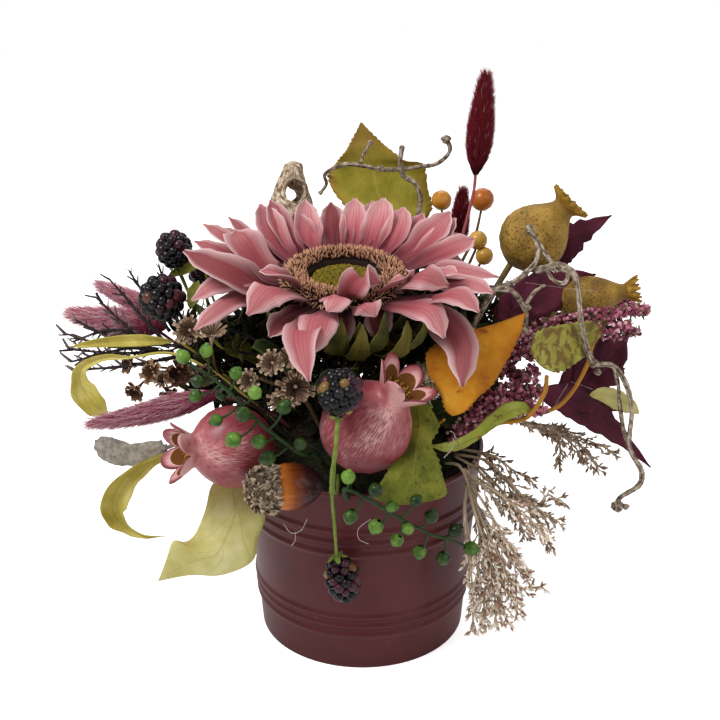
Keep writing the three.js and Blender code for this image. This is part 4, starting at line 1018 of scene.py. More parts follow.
def bramble(centre, axis, radius, length, count=64):
    """Drupelets in golden-angle order round an egg shape, a little smaller towards its ends."""
    stand = axis_frame(centre, axis)
    turn = stand.to_3x3()
    places = []
    for k in range(count):
        height = 1 - 2 * (k + 0.5) / count
        flat = math.sqrt(1 - height * height)
        out = Vector((flat * math.cos(GOLDEN_ANGLE * k), flat * math.sin(GOLDEN_ANGLE * k), height))
        grain = radius * 2.05 / math.sqrt(count) * (0.85 + 0.15 * flat)
        reach = radius - grain
        point = stand @ (Vector((out.x * reach, out.y * reach, out.z * (reach + length - radius))) * MM)
        places.append((point, turn @ out, grain, None))
    return places


def bramble_spray(name, fruits, finish, stems, seed):
    """One spray: its fruits, the sepals behind each, and its wires."""
    fruit = placed(f"bramble_fruit_{name}", [p for berry in fruits for p in bramble(*berry)], drupelet,
                   finish,
                   Size_Spread=0.14, Seed=seed)
    settle(fruit, "bramble_gloss", f"bramble_spray_{name}")
    shell = Shell()
    for points, radii in stems:
        rod(shell, smooth_line(points, 5 * len(points)), [r * MM for r in radii], 8, rough=0.12, seed=seed)
    for centre, axis, radius, length, *_ in fruits:
        stand = axis_frame(centre, axis)
        for k in range(5):
            angle = WHOLE_TURN * k / 5
            spoke = Vector((math.cos(angle), math.sin(angle), 0))
            across = Vector((-math.sin(angle), math.cos(angle), 0))
            leaf = [stand @ ((spoke * reach + across * side * wide + Vector((0, 0, length + rise))) * MM)
                    for reach, wide, rise in ((0.5, 1, 0.4), (2.6, 1.6, 0.9), (5.0, 1.0, -0.6),
                                              (6.4, 0.1, -0.4))
                    for side in (-1, 0, 1)]
            shell.grid([leaf[i:i + 3] for i in range(0, 12, 3)], shade=0.7)
    settle(shell.made(f"bramble_wire_{name}", green_flock), "coated_wire")


green_flock = shaded("flocked_green_wire", [(0.0, "#4d5a22"), (0.5, "#75863a"), (1.0, "#97a355")],
                     scale=300.0)
bramble_spray("front", [((-10.9, -96, 182.3), (-0.2, -0.3, -0.9), 11.4, 12.2, 50),
                        ((-10.5, -79, 69), (-0.21, -0.04, 0.97), 9.8, 14.2, 52)], bramble_ripening, [
    ([(-11.3, -97, 178), (-11.8, -101, 172), (-12.8, -106, 159), (-14.3, -104, 145), (-15.1, -98, 130)],
     [1.0, 1.2, 1.0, 1.3, 1.5]),
    ([(-15.1, -98, 131), (-15, -92, 119), (-14.5, -86, 107), (-13.4, -80, 81)], [0.9, 0.8]),
    ([(-15.1, -98.4, 131), (-13, -80, 121), (-13, -46, 117)], [0.9])], 21)
bramble_spray("left", [((-102.5, 5, 224), (0.2, 0.1, -0.95), 10.6, 11.2, 42),
                       ((-107, -15, 203), (0.1, 0.3, -0.9), 12.8, 13.2, 58),
                       ((-89, 20, 206), (0, 0, -1), 9, 9.6, 34)], bramble_black, [
    ([(-102, 5, 216), (-92, 6, 190), (-80, 6, 172)], [1.0]),
    ([(-104, -12, 195), (-92, -2, 184), (-80, 6, 172)], [1.0]),
    ([(-89, 20, 200), (-86, 14, 186), (-80, 6, 172)], [1.0]),
    ([(-82, 6, 176), (-62, 6, 150), (-36, 7, 118)], [1.1])], 22)

# ---- Orange berries ----
# Small glossy moulded hips, amber to orange, with a brown calyx dot, hanging on thin brown wires.

hip = Shell()
turned(hip, [(0, 1), (0.12, 1.02), (0.2, 0.93), (0.55, 0.84), (0.86, 0.5), (1, 0), (0.84, -0.55),
             (0.5, -0.87),
             (0, -1)][::-1], 20)
hip = hip.made("hip")
hip_gloss = shaded("glossy_amber_hip", [(0.1, "#b4641e"), (0.42, "#c27c26"), (0.8, "#d6a548")], rough=0.3,
                   scale=60.0,
                   Coat_Weight=0.4, Coat_Roughness=0.2)
brown_wire = shaded("brown_papered_wire", [(0.0, "#4f3a26"), (1.0, "#8a7048")])
HIPS = [((46, 58, 239), 6.0, 0.5), ((70, 60, 239), 6.9, 0.8), ((68, 58, 215), 5.8, 0.3),
        ((72, 56, 206), 5.4, 0.1)]
hips = placed("amber_hips", [(Vector(c) * MM, (0.1, -0.3, 0.9), r * MM, None) for c, r, _ in HIPS], hip,
              hip_gloss,
              Lean=0.5, Seed=2)
settle(hips, "orange_berry_gloss", "orange_berry_spray")
shell = Shell()
for points in ([(70, 60, 235), (66, 58, 216), (60, 56, 205), (36, 42, 160)],
               [(46, 58, 235), (50, 56, 205), (36, 42, 160)], [(72, 56, 205), (62, 54, 190), (36, 42, 160)],
               [(68, 58, 212), (60, 56, 195), (36, 42, 160)], [(37, 43, 163), (30, 36, 142), (22, 26, 118)]):
    rod(shell, smooth_line(points, 14), [0.7 * MM, 1.1 * MM], 6, rough=0.1)
settle(shell.made("hip_wires", brown_wire), "coated_wire")

# ---- Capsule sprays ----
# Soft plastic berries with five pressed seams and a dry dark tip, on short stalks along two green wire
# sprays.

capsule_green = shaded("moulded_green_capsule",
                       [(0.0, "#10200a"), (0.32, "#274010"), (0.64, "#42681b"), (1.0, "#6c9236")],
                       rough=0.38, scale=260.0, spread=0.3, Coat_Weight=0.1)
capsule_wire = shaded("dark_green_plastic_wire", [(0.0, "#12220e"), (1.0, "#33501f")], rough=0.5)
capsule = Shell()
turned(capsule, [(0.3, -1.0), (0.62, -0.82), (0.95, -0.35), (1.0, 0.1), (0.8, 0.55), (0.5, 0.85), (0.3, 0.98),
                 (0.36, 1.12), (0.16, 1.05), (0, 0.98)], 20, ripple=lambda a,
       z: 0.07 * abs(math.cos(2.5 * a)) - 0.05)
capsule = capsule.made("capsule")
LEFT_STEM = [(-82, -98, 198), (-65, -102, 187), (-48, -100, 167), (-32, -90, 148), (-28, -76, 140),
             (-25, -62, 133),
             (-20, -42, 117)]
LEFT_CAPSULES = [
    ((-84, -98, 201), (-80, -98.5, 197)), ((-73, -98, 204), (-72, -101, 192)),
    ((-77, -104, 191), (-69, -101.5, 190)),
    ((-67, -96, 181), (-62, -102, 184)), ((-59, -104, 195), (-63, -102, 185)),
    ((-50, -108, 187), (-57, -101.5, 178)),
    ((-79, -100, 182), (-67, -102, 188.5)), ((-69, -106, 172), (-58, -101.5, 179)),
    ((-56, -108, 176), (-51, -101, 171)), ((-37, -104, 178), (-45, -99.5, 164)),
    ((-61, -108, 163), (-50, -100.5, 169)),
    ((-49, -108, 162), (-42, -97, 160)), ((-46, -101, 150), (-36, -94, 153)),
    ((-30, -100, 157), (-33, -92, 150))]
RIGHT_STEM = [(54.4, -80, 89), (42, -86, 97.6), (34, -89, 101.7), (21.5, -96, 112.4), (12.4, -101, 121),
              (-1.4, -106, 132.7), (-9, -104, 135), (-8, -94, 124), (-7, -80, 119), (-6, -46, 113.5)]
RIGHT_CAPSULES = [
    ((-7, -109, 144), (-8.5, -104, 133.5)), ((-6, -108, 122), (0, -105.5, 131.5)),
    ((6, -109, 137), (1, -105, 131)),
    ((6.5, -98, 111), (13, -100.5, 120)), ((17, -94, 101), (20, -96.5, 114)),
    ((14, -107, 127), (8, -103, 125)),
    ((26, -99, 126), (18, -98, 115.5)), ((22, -104, 113), (21, -96.5, 113)),
    ((34, -95, 115), (28, -92.5, 107)),
    ((29, -87, 90), (33, -89.5, 102.5)), ((41.5, -83, 84), (42, -86, 97.6)), ((47, -88, 103), (42, -86, 98)),
    ((56, -80, 88), (53, -80.5, 90))]
for name, stem_line, berries, seed in (("left", LEFT_STEM, LEFT_CAPSULES, 31),
                                       ("right", RIGHT_STEM, RIGHT_CAPSULES, 32)):
    shell = Shell()
    rod(shell, smooth_line(stem_line, 60), [0.75 * MM, 1.0 * MM, 1.1 * MM], 6, rough=0.12, seed=seed)
    for berry, foot in berries:
        bow = [(b + f) / 2 + lift for b, f, lift in zip(berry, foot, (0.6, 0, -1.2))]
        rod(shell, smooth_line([foot, bow, berry], 7), [0.75 * MM, 0.5 * MM, 0.8 * MM], 6, rough=0.1)
    settle(shell.made(f"capsule_wire_{name}", capsule_wire), "coated_wire")
    heads = placed(f"capsules_{name}",
                   [(Vector(b) * MM, Vector(b) - Vector(f), 3.5 * MM, None) for b, f in berries],
                   capsule, capsule_green, Size_Spread=0.14, Lean=0.3, Seed=seed)
    settle(heads, "capsule_green", f"capsule_spray_{name}")
for used in (drupelet, hip, capsule):
    bpy.data.objects.remove(used)

# ---- Poppy pods ----
# Two real dried poppy heads, dyed ochre: hard ribbed shells speckled with dark mould, with a narrow neck
# under a flat rayed crown, each on its own dried stem.


def pod_shell():
    """A dyed dry shell: ochre with drawn-out dark flecks that gather low down, and shallow ribs."""
    made, tree, shader = material("dyed_dry_pod", Roughness=0.7, Specular_IOR_Level=0.3)
    uv = add(tree, "UVMap", uv_map="UVMap").outputs[0]
    place = add(tree, "TexCoord").outputs["Object"]
    cloud = add(tree, "TexNoise", {"Vector": place, "Scale": 70.0, "Detail": 4.0}).outputs["Fac"]
    dye = add(tree, "ValToRGB", {"Fac": cloud}, stops=[
        (0.3, "#70521f"), (0.5, "#97742e"), (0.7, "#b48e42")]).outputs["Color"]
    flecks = lines_of(tree, uv, 84.0, 34.0, detail=4.0)
    height = add(tree, "SeparateXYZ", {0: uv}).outputs[1]
    lower = add(tree, "Math", {0: height, 1: -0.1, 2: flecks}, operation="MULTIPLY_ADD").outputs[0]
    dark = add(tree, "MapRange", {"Value": lower, "From Min": 0.48, "From Max": 0.56, "To Max": 0.7})
    colour = add(tree, "Mix", {0: dark.outputs[0], 6: dye, 7: srgb("#3d2e14")}, data_type="RGBA").outputs[2]
    return surfaced(made, tree, shader, colour, flecks, 0.35, 0.0007)


dry_pod = pod_shell()
dry_crown = shaded("dyed_dry_crown", [(0.1, "#5e4315"), (0.5, "#97701f"), (0.9, "#c39a48")], scale=300.0)
dry_stalk = shaded("dried_stalk", [(0.0, "#5c4c2e"), (0.6, "#86734a"), (1.0, "#a4936b")], scale=200.0)
POD = [(0.06, 0.0), (0.26, 0.02), (0.5, 0.06), (0.76, 0.14), (0.93, 0.25), (1.0, 0.36), (0.97, 0.47),
       (0.87, 0.57),
       (0.7, 0.67), (0.5, 0.76), (0.37, 0.83), (0.35, 0.87), (0.42, 0.905)]


def poppy_pod(name, foot, axis, length, radius, rays, splay, stem, seed):
    """The crown's rays are ridges with blunt ends that turn up past its edge."""
    stand = axis_frame(foot, axis)
    bulk, high = radius * MM, length * MM
    shell = Shell()
    profile = [Vector((r, z, 0)) for r, z in POD]
    fine = []
    for a, b in zip(profile, profile[1:]):
        fine += [a.lerp(b, part) for part in (0, 0.5)]
    turned(shell, [(p.x * bulk, p.y * high) for p in fine] + [(0.42 * bulk, 0.905 * high)], 60, stand,
           ripple=lambda a, z: 0.022 * math.cos(rays * a) * math.sin(math.pi * min(1, z / high)))

    def crown(r, z, toothed, ridged):
        """One ring of the crown, in shares of the pod."""
        row = []
        for side in range(rays * 6):
            angle = WHOLE_TURN * side / (rays * 6)
            wave = 0.5 + 0.5 * math.cos(rays * angle)
            out = bulk * (r - toothed * (1 - wave ** 0.6) * (0.07 + 2 * splay))
            rise = high * (z + toothed * splay * wave) + bulk * ridged * 0.07 * wave
            row.append(stand @ Vector((out * math.cos(angle), out * math.sin(angle), rise)))
        return row

    shell.grid([crown(0.42, 0.905, 0, 0), crown(0.56, 0.93, 0.5, 0), crown(0.66, 0.945, 1, 0),
                crown(0.66, 0.965, 1, 1),
                crown(0.5, 0.96, 0.5, 1), crown(0.26, 0.972, 0, 1), crown(0.1, 0.98, 0, 0.5),
                crown(0, 0.985, 0, 0)],
               closed=True, part=1)
    rod(shell, smooth_line(stem, 24), [1.9 * MM, 1.3 * MM], 8, rough=0.05, seed=seed, part=2)
    settle(shell.made(f"dried_pod_{name}", dry_pod, dry_crown, dry_stalk), "dried_pod", f"poppy_pod_{name}")


poppy_pod("large", (83, 30, 209), (33, 0, 36), 50, 19, 14, 0.015,
          [(86, 30, 212), (74, 28, 190), (50, 20, 140), (42, 17, 118)], 3)
poppy_pod("small", (108, 12, 191), (42, -6, 10), 44, 12, 9, 0.09,
          [(111, 12, 192), (96, 11, 172), (60, 8, 134), (46, 6, 118)], 4)

# ---- Star crowns ----
# Dried papery seed heads: a ring of folded tan ribs round a cream button, some still holding their ragged
# brown bracts, branching from thin straw-coloured stalks.


def rib_fan(ribs, wide, cup, layers):
    """A head of radius 1 that faces +Z, with a hollow cone behind it down to its stalk."""
    shell = Shell()
    chance = random.Random(ribs)
    turned(shell, [(0, -1.15), (0.09, -1.12), (0.1, -0.75), (0.18, -0.35), (0.2, -0.12), (0.1, -0.03),
                   (0, -0.02)],
           12)
    for layer in range(layers):
        for k in range(ribs):
            angle = WHOLE_TURN * (k + 0.5 * layer) / ribs + chance.uniform(-0.12, 0.12)
            spoke = Vector((math.cos(angle), math.sin(angle), 0))
            across = Vector((-math.sin(angle), math.cos(angle), 0))
            far = chance.uniform(0.76, 1.1) - 0.28 * layer
            rise = cup + 0.22 * layer + chance.uniform(-0.06, 0.06)
            rows = []
            for r, w, z, dip in ((0.1, 0.14, -0.03, 0.02), (0.4, 0.5, 0.3 * rise, 0.09),
                                 (0.75, 0.85, 0.7 * rise, 0.11),
                                 (far, 1.0, rise, 0.06), (far + 0.03, 0.5, rise - 0.06, 0.02)):
                half = 0.5 * wide * w
                rows.append([spoke * r + across * half * s + Vector((0, 0, z + (abs(s) - 0.5) * 2 * dip))
                             for s in (-1, 0, 1)])
            shell.grid(rows)
            shell.grid([[p - Vector((0, 0, 0.03)) for p in row][::-1] for row in rows])
    return shell.made("fan")


narrow_fan = rib_fan(13, 0.25, 0.26, 2)
wide_fan = rib_fan(7, 0.5, 0.32, 2)
funnel_fan = rib_fan(14, 0.3, 0.6, 1)
papery = tipped("papery_seed_head", "#42312a", "#8a6d58", "#c4aa90", rough=0.9)
papery_brown = tipped("papery_brown_bract", "#3c241a", "#76503a", "#b59474", rough=0.9)


def crown_spray(name, heads, ragged, funnels, hub, root, seed):
    """Heads of (centre, way that it faces, radius) on stalks that meet in a hub and run down one root."""
    fans = [placed("fans", [(Vector(c) * MM, way, r * MM, None) for c, way, r in group], shape, finish,
                   Size_Spread=0.08, Seed=seed)
            for group, shape, finish in ((heads, narrow_fan, papery), (ragged, wide_fan, papery_brown),
                                         (funnels, funnel_fan, papery)) if group]
    shell = Shell()
    for c, way, r in heads + ragged + funnels:
        behind = Vector(c) - Vector(way).normalized() * r
        middle = (behind + Vector(hub)) / 2 - Vector(way) * 3
        rod(shell, smooth_line([tuple(behind), tuple(middle), hub], 12), [0.7 * MM, 0.8 * MM], 6, rough=0.1)
    rod(shell, smooth_line(root, 14), [1.1 * MM], 6, rough=0.08, seed=seed)
    settle(joined(f"star_crowns_{name}", *fans, shell.made("stalks", dry_stalk)), "dried_crown",
           f"star_crown_spray_{name}")


crown_spray("left", [((-92, -24, 188), (-0.1, -0.9, 0.4), 8.4), ((-108, -20, 158), (-0.1, -0.8, 0.5), 5.8),
                     ((-84, -34, 166), (0.3, -0.8, 0.4), 6)],
            [((-115, -14, 160), (-0.3, -0.9, 0.3), 7.2), ((-128, -10, 163), (-0.7, -0.6, 0.3), 6.6),
             ((-99, -24, 164), (0, -1, 0.1), 7.4), ((-124, -18, 151), (-0.4, -0.8, -0.3), 7.4),
             ((-106, -22, 150), (0.2, -0.9, -0.2), 6)], [((-79, -32, 188), (0.1, -0.25, 1), 7.8)],
            (-78, -18, 160),
            [(-81, -18, 161), (-60, -17, 143), (-40, -14, 119)], 41)
crown_spray("front", [((-44, -80, 191), (-0.3, -0.9, 0.4), 7.4), ((-33, -79, 178), (0.1, -1, 0.2), 9),
                      ((-55, -78, 181), (-0.5, -0.8, 0.2), 6.8), ((-40, -77, 171), (-0.1, -1, -0.1), 7)],
            [], [((-36, -72, 190), (0, -0.8, 0.6), 6.5)], (-30, -52, 160),
            [(-30.5, -53, 162), (-24, -38, 140), (-18, -26, 118)], 42)
for used in (narrow_fan, wide_fan, funnel_fan):
    bpy.data.objects.remove(used)

# ---- Plumes and bunny tails ----
# Dyed grass flowers: a core on a thin stem, covered with fine hairs that sweep forward. The wine-red tails
# stand up with a halo of longer pale hairs, and the pink plumes lie out to the left, dyed darker low down.

CORE_SHARE = 0.72


def plume(name, tip, foot, radius, stem, hair, finish, combed, density, slot, seed, lean=0.12):
    """A spindle from foot to tip whose faces carry the combing direction for its hairs."""
    foot, tip = Vector(foot), Vector(tip)
    line = smooth_line([foot, foot.lerp(tip, 0.5) + Vector((0, 0, -0.02 * (tip - foot).length)), tip], 13)
    widths = [0.25, 0.62, 0.86, 0.98, 1.0, 0.98, 0.93, 0.85, 0.75, 0.62, 0.48, 0.3, 0.12]
    ahead = (tip - foot).normalized()
    shapes_used = []
    core = Shell()
    rod(core, line[:-1] + [line[-1] - ahead * radius * 0.5 * MM],
        [CORE_SHARE * w * radius * MM for w in widths], 12)
    pale_share = 0.012 if slot == "red_plume" else 0.1
    for shape, dye, share in ((soft_hair, finish, 1.0), (long_hair, pale_hair, pale_share)):
        grown = core.made("core")
        comb = grown.data.attributes.new("comb", "FLOAT_VECTOR", "POINT")
        comb.data.foreach_set("vector", [c for _ in grown.data.vertices for c in ahead])
        shapes_used.append(copies("hair", grown, SCATTERED, shape, dye, Size=hair, Size_Spread=0.35,
                                  Lean=lean,
                                  Density=density * share, Combed=combed, Seed=seed))
    rod(core, smooth_line(stem, 26), [0.9 * MM], 6, rough=0.06, seed=seed, shade=0.4, part=1)
    settle(joined(name, core.made("core", finish, plume_stem[slot]), *shapes_used), slot, name)


soft_hair = small_rod([(0, 0, -0.4), (0, 0.25, 3.2), (0, 0.9, 6)], [0.13, 0.11, 0.03], sides=3, steps=3)
long_hair = small_rod([(0, 0, 0), (0, 0.6, 5), (0, 1.9, 10)], [0.09, 0.07, 0.03], sides=3, steps=4)
wine_hair = tipped("wine_dyed_hair", "#360910", "#6b121e", "#8a2430", rough=0.7)
pale_hair = tipped("pale_hair_tips", "#9a4a58", "#cfa0a4", "#eadad6", rough=0.7)
pink_hair = tipped("pink_dyed_hair", "#8a364e", "#b65c73", "#cb8694", rough=0.75)
mauve_hair = tipped("mauve_dyed_hair", "#74283f", "#a14c65", "#bd7788", rough=0.75)
plume_stem = {"red_plume": shaded("dyed_pink_stem", [(0.0, "#a8575c"), (1.0, "#c98a88")]),
              "pink_plume": shaded("dyed_mauve_stem", [(0.0, "#7a3a4c"), (1.0, "#a86a78")])}
plume("red_tail_tall", (68, 45, 315), (64, 45, 257), 8.4,
      [(64, 45, 262), (62, 45, 240), (46, 36, 180), (28, 20, 118)], 0.72, wine_hair, 0.75, 6.5e6, "red_plume",
      51, 0.22)
plume("red_tail_short", (60, 74, 244), (57, 74, 204), 6.6,
      [(57.5, 74, 210), (52, 66, 185), (30, 42, 140), (16, 30, 118)], 0.62, wine_hair, 0.75, 7.0e6,
      "red_plume", 52, 0.22)
plume("pink_plume_upper", (-151, 29, 197), (-112, 14, 185), 6.4,
      [(-116, 15, 187.5), (-94, 16, 172), (-62, 16, 146), (-34, 15, 118)], 1.0, pink_hair, 0.93, 5.0e6,
      "pink_plume", 53)
plume("pink_plume_middle", (-166, 16, 184), (-110, 2, 180.5), 9.6,
      [(-117, 3.2, 180.5), (-96, 3, 164), (-66, 1, 140), (-38, 0, 119)], 1.15, pink_hair, 0.93, 3.6e6,
      "pink_plume", 54)
plume("pink_plume_lower", (-142, -53.5, 146.5), (-74, -46, 161), 7.2,
      [(-82, -46.5, 160), (-66, -40, 154), (-46, -26, 138), (-32, -18, 119)], 1.1, mauve_hair, 0.94, 4.4e6,
      "pink_plume", 55)
bpy.data.objects.remove(soft_hair)
bpy.data.objects.remove(long_hair)

# ---- Cloth leaves ----
# Printed craft leaves die-cut with toothed edges, a wired midrib pressed in, and heat-shaped by hand: one
# orange, one olive, one yellow-green in front, four maroon ones like maple, dark green fillers and a big
# yellowed one behind.

LEAF_CLOTH = 0.4 * MM
FRONT = (0, -1, 0.25)
BROAD = [0.12, 0.7, 1.0, 0.98, 0.82, 0.56, 0.03]


def blade(shell, spine, width, up=FRONT, outline=BROAD, teeth=0, depth=0.1, fold=0.12, curl=0.1, wave=0.06,
          shade=0.5,
          twist=(0, 0), rows=None, across=10):
    """One leaf along a spine in millimetres. Teeth point to the tip, fold lifts both halves and curl the
    edges."""
    rows = rows or max(3 * teeth, 24)
    chance = random.Random(round(sum(spine[-1]) * 10 + width))
    line = smooth_line(spine, rows + 1)
    phase, turns = chance.uniform(0, WHOLE_TURN), chance.uniform(1.6, 2.6)
    skin = []
    for i, point in enumerate(line):
        t = i / rows
        ahead = (line[min(i + 1, rows)] - line[max(i - 1, 0)]).normalized()
        side = ahead.cross(Vector(up)).normalized()
        side.rotate(Matrix.Rotation(math.radians(along(twist, t)), 3, ahead))
        above = side.cross(ahead)
        half = 0.5 * width * MM * along(outline, t)
        saw = (0, 0.6, 1)[i % 3] * (0.6 + 0.4 * math.sin(5.1 * (i // 3))) if teeth else 0
        row = []
        for j in range(across + 1):
            s = 2 * j / across - 1
            edge = 1 + depth * saw if abs(s) > 0.99 else 1 + 0.4 * depth * saw * abs(s) ** 3
            lift = half * (fold * abs(s) + curl * s * s)
            lift += wave * 0.5 * width * MM * s * s * math.sin(turns * WHOLE_TURN * t + phase + 1.3 * s)
            lift += 0.25 * MM * math.cos(3 * WHOLE_TURN * (t * 2.2 - abs(s))) * (1 - abs(s))
            row.append(point + side * half * s * edge + above * lift)
        skin.append(row)
    shell.grid(skin, shade=shade)


def patch(shell, rows, teeth=0, depth=0.9, wave=0.5, count=40, across=12, shade=0.5):
    """One leaf through rows of three points from its base to its tip, with teeth and waves in millimetres."""
    count = 3 * teeth or count
    lines = [smooth_line([row[k] for row in rows], count + 1) for k in range(3)]
    chance = random.Random(len(rows) + teeth)
    phase, turns = chance.uniform(0, WHOLE_TURN), chance.uniform(1.4, 2.4)
    skin = []
    for i, (left, middle, right) in enumerate(zip(*lines)):
        t = i / count
        ahead = lines[1][min(i + 1, count)] - lines[1][max(i - 1, 0)]
        above = (right - left).cross(ahead).normalized()
        saw = (0, 0.6, 1)[i % 3] * depth * MM * (0.6 + 0.4 * math.sin(5.1 * (i // 3))) if teeth else 0
        row = []
        for j in range(across + 1):
            s = 2 * j / across - 1
            point = left * (s * (s - 1) / 2) + middle * (1 - s * s) + right * (s * (s + 1) / 2)
            if abs(s) > 0.99 and 0 < i < count:
                point = point + (point - middle).normalized() * saw
            lift = wave * s * s * math.sin(turns * WHOLE_TURN * t + phase + 1.3 * s)
            lift -= 0.8 * wave * (1 - abs(s)) ** 2
            lift += 0.3 * math.cos(3 * WHOLE_TURN * (t * 2.2 - abs(s))) * (1 - abs(s))
            row.append(point + above * lift * MM * math.sin(math.pi * min(1, 1.2 * t + 0.1)))
        skin.append(row)
    shell.grid(skin, shade=shade)


def stalk(shell, points, radius=0.8, **options):
    """A leaf's wire, a little thicker towards its foot."""
    rod(shell, smooth_line(points, 4 * len(points) + 4), [radius * MM, 1.15 * radius * MM], 6, rough=0.05,
        **options)


def thick_sheet(shell, finish, thickness):
    """An open sheet made closed and thin, ready to be joined with its wire."""
    sheet = shell.made("sheet", finish, thickness=thickness)
    mesh = bpy.data.meshes.new_from_object(sheet.evaluated_get(bpy.context.evaluated_depsgraph_get()))
    sheet.modifiers.clear()
    sheet.data = mesh
    return sheet


def leaf(name, finish, slot, blades, stalks, radius=0.8, wire=None):
    """A leaf with its blades or patches, and its stalk beside them in the same piece."""
    cloth_shell, wire_shell = Shell(), Shell()
    for spine, width, options in blades:
        if width:
            blade(cloth_shell, spine, width, **options)
        else:
            patch(cloth_shell, spine, **options)
    for points in stalks:
        stalk(wire_shell, points, radius)
    sheet = thick_sheet(cloth_shell, finish, LEAF_CLOTH)
    settle(joined(name, sheet, wire_shell.made("stalk", wire or finish)), slot, *nodes_of(name))


autumn_orange = leaf_cloth("orange_leaf_cloth", [(0.28, "#8a4a10"), (0.42, "#b86f14"), (0.58, "#cb8a1e"),
                                                 (0.75, "#dba238")], "#c9982f", "#93500f", 0.6,
                           vein_amount=0.35,
                           spots=("#7a3a10", 80.0, 0.34), side_veins=8.0)
olive_cloth = leaf_cloth("olive_leaf_cloth", [(0.34, "#6b6328"), (0.5, "#8e8536"), (0.66, "#aaa148")],
                         "#b8b070",
                         "#9aa546", 0.8, vein_amount=0.6, spots=("#6e4c2c", 230.0, 0.52), side_veins=7.0)
ochre_wire = shaded("ochre_stalk", [(0.0, "#8a5a16"), (0.6, "#b37a24"), (1.0, "#c99a4a")], rough=0.6)
bright_leaf = leaf_cloth("yellow_green_leaf_cloth", [(0.3, "#383d11"), (0.46, "#565a18"), (0.6, "#727524"),
                                                     (0.75, "#909036")], "#9c9a48", "#858a34", 0.4,
                         side_veins=9.0,
                         spots=("#3f3a14", 560.0, 0.39), vein_amount=0.3)
leaf("orange_leaf_right", autumn_orange, "orange_leaf", [
    ([[(46, -60, 154)] * 3, [(42.7, -59, 156.9), (47.3, -59, 156.4), (51.9, -59, 155.8)],
      [(39.5, -57, 166), (48.8, -57, 162.7), (59.1, -56, 162.8)],
      [(33.3, -54, 175.8), (49.7, -53, 174.2), (68.1, -51, 169.7)],
      [(33.4, -49, 184.9), (54, -47, 183.4), (75.8, -46, 182.6)],
      [(45.2, -40, 190.3), (62.6, -40, 191.9), (80.8, -41, 190.7)],
      [(64.1, -36, 193.8), (74.6, -37, 197.3), (82.8, -39, 197.7)], [(83.7, -38, 202.2)] * 3], None,
     dict(teeth=26, depth=1.1, wave=1.2)),
], [[(42, -58, 151), (39, -46, 142), (33, -24, 119)]], wire=ochre_wire)
leaf("olive_leaf_right", olive_cloth, "olive_leaf", [
    ([[(87.9, -38, 180.7), (90.6, -38, 176), (94.7, -38, 171.8)],
      [(90.6, -34, 189.3), (96.7, -34, 180.2), (102, -36, 168.7)],
      [(102, -27, 191.2), (107.9, -26, 181.2), (113.3, -28, 170.2)],
      [(116.1, -17, 189.5), (119.3, -16, 182.1), (122.6, -17, 173.4)],
      [(125.6, -12, 188.9), (127.5, -11, 184.8), (129, -12, 180.3)], [(132.8, -9, 188.4)] * 3], None,
     dict(teeth=16, depth=1.3, wave=0.9)),
], [[(97, -37.4, 167), (94.6, -46, 160.3), (85.1, -50, 148.3), (68.1, -49, 143.8), (46, -30, 119)]], 1.15,
     ochre_wire)
ochre = Shell()
stalk(ochre, [(124, -16, 176), (122, -18, 166), (113, -22, 150), (101, -24, 141), (76, -20, 137),
              (44, -12, 118)], 1.1)
settle(ochre.made("ochre_stalk_right", ochre_wire), "olive_leaf", "ochre_stalk_right")
streaked_leaf = leaf_cloth("streaked_leaf_cloth", [(0.3, "#6c7022"), (0.5, "#919838"), (0.7, "#b4bb5c")],
                           "#6b4a2c",
                           "#7a5a30", 0.4, side_veins=1.0, slant=0.0, vein_amount=0.6,
                           spots=("#6e4a2c", 240.0, 0.42))
leaf("twisted_leaf_right", streaked_leaf, "olive_leaf", [
    ([(34, -68, 141), (46, -65, 139), (58, -60, 142), (70, -54, 149), (80, -50, 153), (89, -46, 151)], 9.5,
     dict(up=(0, -0.7, 0.7), outline=[0.1, 0.5, 0.62, 0.6, 0.8, 1.0, 0.7, 0.1], teeth=12, depth=0.1, fold=0.3,
          curl=0.3,
          twist=(30, -20, 10))),
], [[(35, -67, 141), (34, -58, 132), (30, -44, 118)]])
leaf("serrated_leaf_front", bright_leaf, "green_leaf", [
    ([[(22.7, -58, 159.8), (28, -59, 161), (32.8, -60, 161.2)],
      [(21, -66, 151.6), (29, -68, 152.5), (38.1, -68, 153.1)],
      [(18.2, -76, 145.1), (26.7, -77, 145), (34.4, -74, 144.7)],
      [(14, -86, 138.9), (25.4, -85, 138.4), (37.7, -80, 137.1)],
      [(8, -93, 131.9), (22.9, -89, 130.4), (41.2, -84, 127.3)],
      [(4, -95, 126.9), (20.5, -91, 123.4), (40.9, -84, 120.6)],
      [(13, -92.5, 120), (22, -91, 119.5), (33, -87, 119)]], None,
     dict(teeth=20, depth=1.2, wave=1.6, shade=0.55)),
], [[(35, -62, 160), (28, -46, 140), (20, -34, 119)]])

